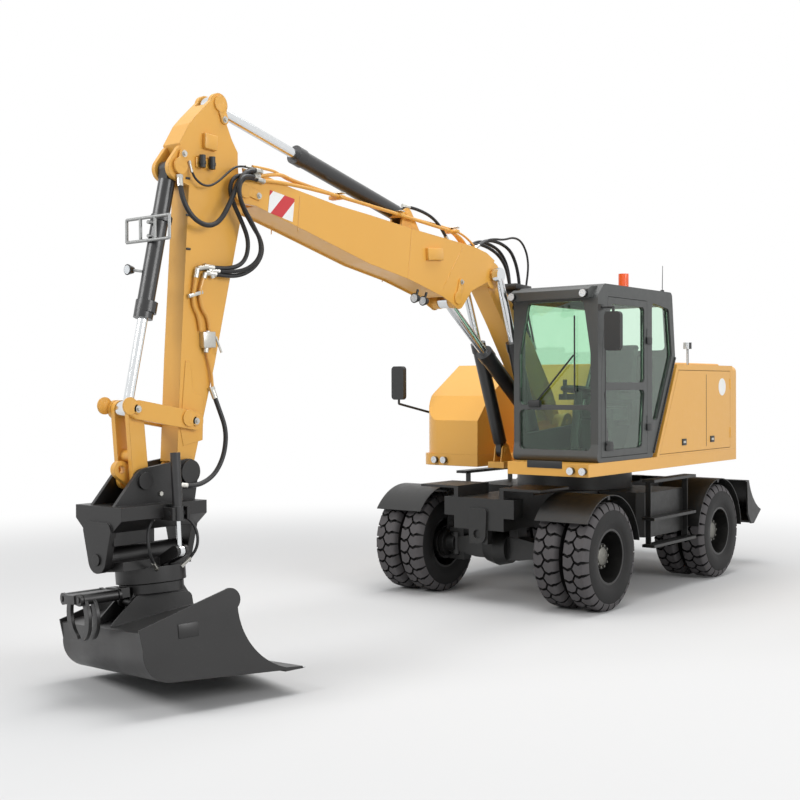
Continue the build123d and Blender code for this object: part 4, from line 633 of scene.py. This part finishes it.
# Rigid steel tubes, bent cold and painted with the boom.
steelTubes = [
    dict(name="boomTubeLeft", body="upper_boom", diameter=0.030, points=[
        (3.000, 0.168, 3.785), (2.900, 0.168, 3.800), (2.639, 0.155, 3.805), (2.400, 0.120, 3.810),
        (2.091, 0.110, 3.800), (1.600, 0.110, 3.765), (1.207, 0.110, 3.735), (0.700, 0.110, 3.690),
        (0.355, 0.100, 3.668), (0.120, 0.060, 3.610), (0.010, 0.030, 3.545)]),
    dict(name="boomTubeMiddle", body="upper_boom", diameter=0.030, points=[
        (3.010, 0.150, 3.822), (2.860, 0.140, 3.858), (2.700, 0.110, 3.880), (2.560, 0.070, 3.862),
        (2.071, 0.065, 3.812), (1.600, 0.065, 3.778), (1.155, 0.065, 3.748), (0.700, 0.060, 3.712),
        (0.298, 0.030, 3.690), (0.110, -0.005, 3.630), (-0.010, -0.015, 3.540)]),
    dict(name="boomTubeUpper", body="upper_boom", diameter=0.022, points=[
        (3.090, 0.160, 3.886), (2.950, 0.156, 3.890), (2.800, 0.130, 3.890), (2.680, 0.070, 3.880),
        (2.500, 0.022, 3.862), (2.050, 0.020, 3.822), (1.155, 0.020, 3.755), (0.500, 0.060, 3.712),
        (0.100, 0.075, 3.665), (-0.050, 0.075, 3.560)]),
    dict(name="stickTubeFront", body="stick", diameter=0.030, points=[
        (3.640, 0.118, 3.000), (3.648, 0.116, 2.930), (3.662, 0.112, 2.860), (3.655, 0.110, 2.780),
        (3.600, 0.110, 2.700), (3.588, 0.110, 2.600)]),
    dict(name="stickTubeRear", body="stick", diameter=0.030, points=[
        (3.560, 0.118, 3.000), (3.590, 0.116, 2.930), (3.597, 0.112, 2.850), (3.570, 0.110, 2.760),
        (3.508, 0.110, 2.700), (3.499, 0.110, 2.600)]),
    dict(name="stickTubeLower", body="stick", diameter=0.022, points=[
        (3.530, 0.112, 2.440), (3.500, 0.114, 2.340), (3.482, 0.116, 2.260), (3.476, 0.116, 2.170)]),
]
for tube in steelTubes:
    piece, path = makeTube(tube["name"], tube["points"], tube["diameter"], tubeEnamel)
    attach(piece, tube["body"])
print("steel tubes made")


keeperLook = dict(pinDisc=0.062, boltDisc=0.036, strap=0.072, strapShare=0.9, washer=0.025, washerTop=0.004,
                  head=0.015, headTop=0.018)


def addKeeper(work, bolts, pin, bolt, face, thick=0.014):  # a pin's keeper plate, with its bolt and washer
    look, out, top = keeperLook, (1 if thick > 0 else -1), face + thick
    long, rise = bolt[0] - pin[0], bolt[1] - pin[1]
    washer, head = top + out * look["washerTop"], top + out * look["headTop"]
    addBar(work, (pin[0], face, pin[1]), (pin[0], top, pin[1]), look["pinDisc"], 28)
    addBar(work, (bolt[0], face, bolt[1]), (bolt[0], top, bolt[1]), look["boltDisc"], 20)
    addBlock(work, ((bolt[0] + pin[0]) / 2, face + thick / 2, (bolt[1] + pin[1]) / 2),
             (hypot(long, rise), abs(thick) * look["strapShare"], look["strap"]), 0.002, -atan2(rise, long))
    addBar(bolts, (bolt[0], top, bolt[1]), (bolt[0], washer, bolt[1]), look["washer"], 24)
    addBar(bolts, (bolt[0], washer, bolt[1]), (bolt[0], head, bolt[1]), look["head"], 6)


boomTrim = dict(face=0.150, filmBack=0.0008, filmFront=0.003, seamRadius=0.004, keeperThick=0.014,
                panel=[(2.889, 3.731), (2.609, 3.695), (2.634, 3.507), (2.913, 3.555)],
                seams=[((2.544, 3.728), (2.570, 3.440)), ((1.057, 3.640), (1.119, 3.146)),
                       ((0.252, 3.533), (0.582, 3.100))],
                keepers=[((3.163, 3.695), (3.023, 3.667)), ((0.340, 3.028), (0.289, 3.184))],
                pad=(0.730, 3.412), padOut=0.016, padSize=(0.235, 0.034, 0.112), padTurn=0.075,
                clamps=[(2.000, 3.800), (1.180, 3.740), (0.330, 3.682)], clampY=0.075, clampTurn=-0.09,
                clampSeat=(0.055, 0.150, 0.030), seatDrop=0.012, clampStrap=(0.050, 0.150, 0.012),
                strapRise=0.024)
paint, zinc = bmesh.new(), bmesh.new()
for side in (1, -1):
    face = side * boomTrim["face"]
    film = bmesh.new()
    addPlate(film, boomTrim["panel"], face + side * boomTrim["filmBack"], face + side * boomTrim["filmFront"])
    finishPiece(film, "hazardPanelLeft" if side > 0 else "hazardPanelRight", "upper_boom", stripeFilm)
    for (startX, startZ), (endX, endZ) in boomTrim["seams"]:  # butt welds where the side plates meet
        addBar(paint, (startX, face, startZ), (endX, face, endZ), boomTrim["seamRadius"], 8)
    for pin, bolt in boomTrim["keepers"]:
        addKeeper(paint, zinc, pin, bolt, face, side * boomTrim["keeperThick"])
    addBlock(paint, (boomTrim["pad"][0], face + side * boomTrim["padOut"], boomTrim["pad"][1]),
             boomTrim["padSize"], 0.006, boomTrim["padTurn"])
for x, z in boomTrim["clamps"]:  # the clamps that hold the steel tubes on the boom's back
    addBlock(paint, (x, boomTrim["clampY"], z - boomTrim["seatDrop"]), boomTrim["clampSeat"], 0.005,
             boomTrim["clampTurn"])
    addBlock(zinc, (x, boomTrim["clampY"], z + boomTrim["strapRise"]), boomTrim["clampStrap"], 0.003,
             boomTrim["clampTurn"])
finishPiece(paint, "boomFittings", "upper_boom", bodyEnamel)
finishPiece(zinc, "boomBolts", "upper_boom", fittingZinc)

# Blocks are given as middle, size, softened edge and turn; bars as two ends, radius and sides.
stickTrim = dict(
    covers=[((3.480, 0.108, 4.018), (0.125, 0.036, 0.115), 0.006, -0.05),
            ((3.525, 0.098, 3.852), (0.185, 0.014, 0.075), 0.004, 0.03)],
    couplers=(3.575, 3.478), couplerY=0.128, cap=dict(foot=3.812, top=3.905, radius=0.024),
    collar=dict(foot=3.838, top=3.858, radius=0.028),
    doubler=[(3.724, 2.374), (3.675, 2.367), (3.648, 2.145), (3.549, 2.115), (3.561, 1.787), (3.748, 1.749),
             (3.776, 1.868)], doublerFaces=(0.090, 0.096),
    keepers=[((3.363, 4.327), (3.323, 4.213), 0.092, 0.014), ((3.774, 3.798), (3.744, 3.890), 0.108, 0.012)],
    tubeClamp=((3.640, 0.112, 2.870), (0.140, 0.030, 0.028), 0.004, 0.28),
    valve=((3.524, 0.118, 2.535), (0.120, 0.052, 0.120), 0.006, 0.05),
    valveOutlet=((3.524, 0.118, 2.600), (3.545, 0.118, 2.440), 0.020, 16),
    valveLever=((3.450, 0.126, 2.560), (3.415, 0.150, 2.440), 0.009, 10),
    elbows=[((3.640, 0.118, 2.990), (3.622, 0.118, 3.060), (3.520, 0.115, 3.080)),
            ((3.560, 0.118, 2.990), (3.545, 0.116, 3.030), (3.500, 0.115, 3.034)),
            ((3.470, 0.118, 3.000), (3.485, 0.118, 3.040), (3.470, 0.118, 3.056))], elbowRadius=0.020,
    clips=(3.72, 3.45, 3.20), clipPlace=(3.690, 0.096), clipSize=(0.040, 0.012, 0.016))
paint, zinc, black = bmesh.new(), bmesh.new(), bmesh.new()
for cover in stickTrim["covers"]:
    addBlock(paint, *cover)
for x in stickTrim["couplers"]:  # two quick couplers under black dust caps
    for ring in (stickTrim["cap"], stickTrim["collar"]):
        addBar(black, (x, stickTrim["couplerY"], ring["foot"]), (x, stickTrim["couplerY"], ring["top"]),
               ring["radius"], 20)
addPlate(paint, stickTrim["doubler"], *stickTrim["doublerFaces"])
for keeper in stickTrim["keepers"]:
    addKeeper(paint, zinc, *keeper)
addBlock(zinc, *stickTrim["tubeClamp"])
addBlock(zinc, *stickTrim["valve"])
addBar(zinc, *stickTrim["valveOutlet"])
addBar(zinc, *stickTrim["valveLever"])
for start, bend, end in stickTrim["elbows"]:
    addBar(zinc, start, bend, stickTrim["elbowRadius"], 16)
    addBar(zinc, bend, end, stickTrim["elbowRadius"], 16)
for z in stickTrim["clips"]:  # cable clips down the stick's side
    addBlock(black, (*stickTrim["clipPlace"], z), stickTrim["clipSize"], 0.003)
finishPiece(paint, "stickFittings", "stick", bodyEnamel)
finishPiece(zinc, "stickUnions", "stick", fittingZinc)
finishPiece(black, "stickCouplers", "stick", blackPlastic)

hoseBracket = [((-0.855, 0.045, 3.205), (0.300, 0.200, 0.060), 0.008, -0.05),
               ((-0.745, 0.045, 3.080), (0.060, 0.120, 0.250), 0.008, -0.30)]
black = bmesh.new()
for plate in hoseBracket:
    addBlock(black, *plate)
finishPiece(black, "rearHoseBracket", "lower_boom", chassisEnamel)
print("boom and stick fittings made")

barLook = dict(centre=(3.990, 0.000, 3.325), width=0.47, height=0.165, bar=0.012,
               uprights=(-0.5, -0.17, 0.17, 0.5), standOffs=(-0.05, 0.05), standFoot=3.948,
               barrelSlope=0.23, standRadius=0.014, lamp=(4.060, -0.140, 3.035),
               armFoot=(4.005, -0.045, 3.020), armShort=0.020, armRadius=0.010)
zinc = bmesh.new()
x, y, z = barLook["centre"]
wide, tall, bar = barLook["width"] / 2, barLook["height"] / 2, barLook["bar"]
for rise in (-1, 1):
    addBar(zinc, (x, y - wide, z + rise * tall), (x, y + wide, z + rise * tall), bar, 12)
for share in barLook["uprights"]:
    across = y + share * barLook["width"]
    addBar(zinc, (x, across, z - tall), (x, across, z + tall), bar, 12)
for rise in barLook["standOffs"]:  # stand-offs from the barrel, and the arm of the work lamp
    addBar(zinc, (barLook["standFoot"] - rise * barLook["barrelSlope"], y, z + rise), (x, y, z + rise),
           barLook["standRadius"], 12)
lampX, lampY, lampZ = barLook["lamp"]
addBar(zinc, barLook["armFoot"], (lampX - barLook["armShort"], lampY, lampZ), barLook["armRadius"], 10)
finishPiece(zinc, "lampBracketFrame", "bucket_barrel", galvanised)

lampLook = dict(back=0.045, rim=0.004, lens=0.009, backRadius=0.026, rimRadius=0.040, lensRadius=0.036,
                lensTop=0.032)
bandLook = [((3.868, 0.0, 3.385), (3.858, 0.0, 3.428), 0.066, 0.079),
            ((4.001, 0.0, 2.800), (4.019, 0.0, 2.720), 0.066, 0.080)]  # two ends, inner and outer radius
glass, black = bmesh.new(), bmesh.new()
rim, lens = (lampX + lampLook["rim"], lampY, lampZ), (lampX + lampLook["lens"], lampY, lampZ)
addBar(black, (lampX - lampLook["back"], lampY, lampZ), rim, lampLook["backRadius"], 28, lampLook["rimRadius"])
addBar(glass, rim, lens, lampLook["lensRadius"], 28, lampLook["lensTop"])
for band in bandLook:
    addBand(black, *band)
finishPiece(black, "bucketCylinderBands", "bucket_barrel", barrelEnamel)
finishPiece(glass, "workLampLens", "bucket_barrel", lampLens)

guideTrim = dict(face=0.134, thick=0.012,
                 keepers=[((3.728, 1.955), (3.662, 1.931)), ((4.274, 2.051), (4.205, 2.029))])
paint, zinc = bmesh.new(), bmesh.new()
for side in (1, -1):
    for pin, bolt in guideTrim["keepers"]:
        addKeeper(paint, zinc, pin, bolt, side * guideTrim["face"], side * guideTrim["thick"])
finishPiece(paint, "guideKeepers", "guide_links", bodyEnamel)
finishPiece(zinc, "guideBolts", "guide_links", fittingZinc)

bellyLamps = dict(places=[(0.930, 3.052), (0.800, 3.034)], y=0.120, postTop=0.020, postFoot=0.045,
                  postLean=0.030, postRadius=0.012, drop=0.060, deep=0.055, backRadius=0.030,
                  rimRadius=0.046, lens=0.061, lensRadius=0.041, lensTop=0.036)
glass, black = bmesh.new(), bmesh.new()
for x, z in bellyLamps["places"]:  # two lamps under the boom
    y, middle, front = bellyLamps["y"], z - bellyLamps["drop"], x + bellyLamps["deep"]
    foot = (x + bellyLamps["postLean"], y, z - bellyLamps["postFoot"])
    addBar(black, (x, y, z + bellyLamps["postTop"]), foot, bellyLamps["postRadius"], 12)
    addBar(black, (x, y, middle), (front, y, middle), bellyLamps["backRadius"], 24, bellyLamps["rimRadius"])
    addBar(glass, (front, y, middle), (x + bellyLamps["lens"], y, middle), bellyLamps["lensRadius"], 24,
           bellyLamps["lensTop"])
finishPiece(black, "boomLampHousings", "upper_boom", blackPlastic)
finishPiece(glass, "boomLampLenses", "upper_boom", lampLens)

# On the tool: a blank stamped panel on the bucket's cheek and bolt heads on the coupler's plates. The tool
# stands tilted and turned, so its panel is placed in the tool's own frame.
toolLook = dict(axis=(3.995, 0.0, 0.985), tilt=6.0, turn=-14.7, panel=(0.083, 0.702, -0.503),
                panelSize=(0.150, 0.008, 0.096), bolts=[(3.700, 1.300), (4.310, 1.300), (4.000, 1.420)],
                boltFace=0.134, boltTop=0.146, boltRadius=0.017)
toolPlace = (Matrix.Translation(toolLook["axis"]) @ Matrix.Rotation(radians(toolLook["tilt"]), 4, "X")
             @ Matrix.Rotation(radians(toolLook["turn"]), 4, "Z"))
black = bmesh.new()
addBlock(black, toolLook["panel"], toolLook["panelSize"], 0.003)
bmesh.ops.transform(black, matrix=toolPlace, verts=black.verts)
finishPiece(black, "bucketBlankPanel", "rotator", bucketPaint)
zinc = bmesh.new()
for side in (1, -1):
    for x, z in toolLook["bolts"]:
        addBar(zinc, (x, side * toolLook["boltFace"], z), (x, side * toolLook["boltTop"], z),
               toolLook["boltRadius"], 6)
finishPiece(zinc, "couplerBolts", "coupler", fittingZinc)
print("bracket, lamps and tool fittings made")

doorLook = dict(face=1.252, seamX=-2.885, seamZ=1.905, seamSize=(0.008, 0.006, 0.800), disc=(-3.321, 2.167),
                discRadius=0.098, discThick=0.003, latches=[(-2.304, 1.575), (-3.040, 1.582)],
                latchSize=(0.105, 0.012, 0.070), catchSize=(0.060, 0.006, 0.024), latchOut=0.003,
                catchOut=0.009, seamIn=0.001)
for body, side in (("left_service_door", 1), ("right_service_door", -1)):
    black, white, zinc = bmesh.new(), bmesh.new(), bmesh.new()
    face = side * doorLook["face"]
    for x, z in doorLook["latches"]:
        addBlock(black, (x, face + side * doorLook["latchOut"], z), doorLook["latchSize"], 0.004)
        addBlock(zinc, (x, face + side * doorLook["catchOut"], z), doorLook["catchSize"], 0.002)
    addBlock(black, (doorLook["seamX"], face - side * doorLook["seamIn"], doorLook["seamZ"]),
             doorLook["seamSize"], 0.001)
    discX, discZ = doorLook["disc"]
    addBar(white, (discX, face, discZ), (discX, face + side * doorLook["discThick"], discZ),
           doorLook["discRadius"], 48)
    finishPiece(black, body + "Latches", body, blackPlastic)
    finishPiece(white, body + "Disc", body, platePlastic)
    finishPiece(zinc, body + "Catches", body, fittingZinc)

doorPull = [((-0.620, 1.256, 1.600), (0.150, 0.010, 0.090), 0.006),
            ((-0.600, 1.266, 1.620), (0.110, 0.014, 0.022), 0.005)]  # the recess and its lip
black = bmesh.new()
for block in doorPull:
    addBlock(black, *block)
finishPiece(black, "doorPull", "cab_door", blackPlastic)

cabTrim = dict(
    hinges=(1.760, 2.640), hingePlace=(-1.470, 1.258), hingeSize=(0.110, 0.014, 0.070),
    wiperBox=((-0.412, 0.545, 2.010), (0.050, 0.130, 0.070), 0.008),
    skirt=((-0.209, 0.775, 1.428), (0.010, 0.390, 0.070), 0.004),
    ribs=34, ribStart=(-2.085, 2.470), ribRun=(0.500, -0.965), ribY=1.252, ribSize=(0.030, 0.016, 0.020),
    ribTurn=1.09,
    bars=[((-0.560, 1.235, 1.560), (-0.560, 1.235, 2.900), 0.016, 12),  # the door's grab bar
          ((-0.421, 0.560, 2.030), (-0.398, 0.990, 2.480), 0.009, 10),  # wiper arm
          ((-0.415, 0.990, 2.120), (-0.415, 0.990, 2.860), 0.008, 10)],  # wiper blade
    roofBars=[((-1.880, 1.205, 3.150), (-1.880, 1.205, 3.185), 0.020, 20),  # antenna foot
              ((-1.880, 1.205, 3.180), (-1.890, 1.205, 3.440), 0.0045, 8, 0.003),  # antenna
              ((-1.235, 1.090, 3.150), (-1.235, 1.090, 3.182), 0.064, 32)])  # beacon foot
black = bmesh.new()
for z in cabTrim["hinges"]:
    addBlock(black, (*cabTrim["hingePlace"], z), cabTrim["hingeSize"], 0.004)
for bar in cabTrim["bars"]:
    addBar(black, *bar)
addBlock(black, *cabTrim["wiperBox"])
for rib in range(cabTrim["ribs"]):  # the ribbed hose cover down the cab's raked rear edge
    share = rib / (cabTrim["ribs"] - 1)
    addBlock(black, (cabTrim["ribStart"][0] + cabTrim["ribRun"][0] * share, cabTrim["ribY"],
                     cabTrim["ribStart"][1] + cabTrim["ribRun"][1] * share), cabTrim["ribSize"], 0.004,
             cabTrim["ribTurn"])
addBlock(black, *cabTrim["skirt"])  # in the deck's front
for bar in cabTrim["roofBars"]:
    addBar(black, *bar)
finishPiece(black, "cabTrim", "upper", blackPlastic)

railLook = dict(radius=0.016, back=0.13, height=0.66, ends=(0.06, 0.03), collars=(0.16, 0.14),
                collarHalf=0.028, collarRadius=0.030)  # height as a share of the mudguard's
for corner, side in (("front_left", 1), ("front_right", -1)):
    low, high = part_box(corner + "_fender")
    x, z = high[0] - railLook["back"], low[2] + (high[2] - low[2]) * railLook["height"]
    inner, outer = (low[1], high[1]) if side > 0 else (high[1], low[1])
    black = bmesh.new()
    addBar(black, (x, inner + side * railLook["ends"][0], z), (x, outer - side * railLook["ends"][1], z),
           railLook["radius"], 14)
    for y in (inner + side * railLook["collars"][0], outer - side * railLook["collars"][1]):
        addBar(black, (x, y - railLook["collarHalf"], z), (x, y + railLook["collarHalf"], z),
               railLook["collarRadius"], 18)
    finishPiece(black, corner + "FenderRail", corner + "_knuckle", rimEnamel)
print("doors, cab and mudguards trimmed")


cushionLook = dict(weld=0.0005, voxel=0.012, pressure=4.0, steps=20, mostMove=0.012)


# Cushions: foam under woven cloth, swelled by a short simulation that gives the same shape each time.
def makeCushions():
    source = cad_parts["seat_cushions"]
    work = bmesh.new()
    work.from_mesh(source.data)
    bmesh.ops.remove_doubles(work, verts=work.verts, dist=cushionLook["weld"])
    mesh = bpy.data.meshes.new("seatPads")
    work.to_mesh(mesh)
    work.free()
    pads = bpy.data.objects.new("seatPads", mesh)
    bpy.context.scene.collection.objects.link(pads)
    bpy.context.view_layer.objects.active = pads
    remesh = pads.modifiers.new("remesh", "REMESH")
    remesh.mode = "VOXEL"
    remesh.voxel_size = cushionLook["voxel"]
    bpy.ops.object.modifier_apply(modifier="remesh")
    start = [vert.co.copy() for vert in pads.data.vertices]
    cloth = pads.modifiers.new("swell", "CLOTH")
    cloth.settings.use_pressure = True
    cloth.settings.uniform_pressure_force = cushionLook["pressure"]
    cloth.settings.effector_weights.gravity = 0.0
    cloth.point_cache.frame_start, cloth.point_cache.frame_end = 1, cushionLook["steps"]
    for number in range(1, cushionLook["steps"] + 1):
        bpy.context.scene.frame_set(number)
    swelled = bpy.data.meshes.new_from_object(pads.evaluated_get(bpy.context.evaluated_depsgraph_get()))
    for vert, before in zip(swelled.vertices, start):
        moved = vert.co - before
        vert.co = before + moved * min(1.0, cushionLook["mostMove"] / max(moved.length, 1e-6))
    pads.modifiers.clear()
    pads.data = swelled
    bpy.context.scene.frame_set(1)
    pads.data.materials.clear()
    pads.data.materials.append(seatCloth)
    pads.data.shade_smooth()
    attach(pads, "upper")
    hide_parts("seat_cushions")


makeCushions()
print("cushions made")

studio = dict(floorGrey="#d0d0d0", backWhite="#ffffff", worldGrey="#eceef0", worldStrength=0.50,
              floorRadius=90, fadeFrom=3.5, fadeTo=12.0, middle=(1.2, 0.0))


def seenDirectly(tree):  # 1 for camera, glossy and transmission rays, so metal and glass show the background
    ray = addNode(tree, "ShaderNodeLightPath")
    direct = addNode(tree, "ShaderNodeMath", operation="MAXIMUM",
                     links={0: ray.outputs["Is Camera Ray"], 1: ray.outputs["Is Glossy Ray"]})
    return addNode(tree, "ShaderNodeMath", operation="MAXIMUM",
                   links={0: direct.outputs[0], 1: ray.outputs["Is Transmission Ray"]}).outputs[0]


def makeFloor():
    ground = bmesh.new()
    bmesh.ops.create_circle(ground, cap_ends=True, segments=96, radius=studio["floorRadius"])
    mesh = bpy.data.meshes.new("studioFloor")
    ground.to_mesh(mesh)
    ground.free()
    floor = bpy.data.objects.new("studioFloor", mesh)
    bpy.context.scene.collection.objects.link(floor)
    material = bpy.data.materials.new("paintedStudioFloor")  # matt paint by the object, a white sweep far off
    material.use_nodes = True
    tree = material.node_tree
    tree.nodes.clear()
    place = addNode(tree, "ShaderNodeTexCoord").outputs["Object"]
    fromMiddle = addNode(tree, "ShaderNodeVectorMath", {1: (*studio["middle"], 0.0)}, {0: place},
                         operation="SUBTRACT")
    far = addNode(tree, "ShaderNodeVectorMath", links={0: fromMiddle.outputs["Vector"]}, operation="LENGTH")
    fade = addNode(tree, "ShaderNodeMapRange", {"From Min": studio["fadeFrom"], "From Max": studio["fadeTo"]},
                   {"Value": far.outputs["Value"]}, interpolation_type="SMOOTHSTEP")
    paint = addNode(tree, "ShaderNodeBsdfDiffuse", {"Color": srgb(studio["floorGrey"])})
    glow = addNode(tree, "ShaderNodeEmission", {"Color": srgb(studio["backWhite"]), "Strength": 1.0})
    share = addNode(tree, "ShaderNodeMath", links={0: fade.outputs["Result"], 1: seenDirectly(tree)},
                    operation="MULTIPLY")
    mixed = addNode(tree, "ShaderNodeMixShader", links={0: share.outputs[0], 1: paint.outputs[0],
                                                        2: glow.outputs[0]})
    addNode(tree, "ShaderNodeOutputMaterial", links={"Surface": mixed.outputs[0]})
    mesh.materials.append(material)


def makeWorld():
    world = bpy.data.worlds.new("studioLight")
    bpy.context.scene.world = world
    world.use_nodes = True
    tree = world.node_tree
    tree.nodes.clear()
    light = addNode(tree, "ShaderNodeBackground", {"Color": srgb(studio["worldGrey"]),
                                                   "Strength": studio["worldStrength"]})
    seen = addNode(tree, "ShaderNodeBackground", {"Color": srgb(studio["backWhite"]), "Strength": 1.0})
    mixed = addNode(tree, "ShaderNodeMixShader", links={0: seenDirectly(tree), 1: light.outputs[0],
                                                        2: seen.outputs[0]})
    addNode(tree, "ShaderNodeOutputWorld", links={"Surface": mixed.outputs[0]})


def addSoftbox(name, place, aim, width, height, power):
    data = bpy.data.lights.new(name, "AREA")
    data.shape = "RECTANGLE"
    data.size, data.size_y, data.energy = width, height, power
    lamp = bpy.data.objects.new(name, data)
    lamp.location = place
    lamp.rotation_euler = (Vector(aim) - Vector(place)).to_track_quat("-Z", "Y").to_euler()
    bpy.context.scene.collection.objects.link(lamp)


softboxes = [  # name, place, aim, width, height and power
    ("keySoftbox", (13.0, -4.5, 9.5), (0.0, 0.0, 1.8), 7.0, 5.0, 880),
    ("sideSoftbox", (1.5, 14.0, 7.0), (-1.5, 0.0, 1.6), 9.0, 5.0, 950),
    ("topSoftbox", (-0.5, 0.5, 12.0), (-0.5, 0.0, 0.0), 11.0, 7.0, 1150)]
makeFloor()
makeWorld()
for softbox in softboxes:
    addSoftbox(*softbox)
print("studio ready")
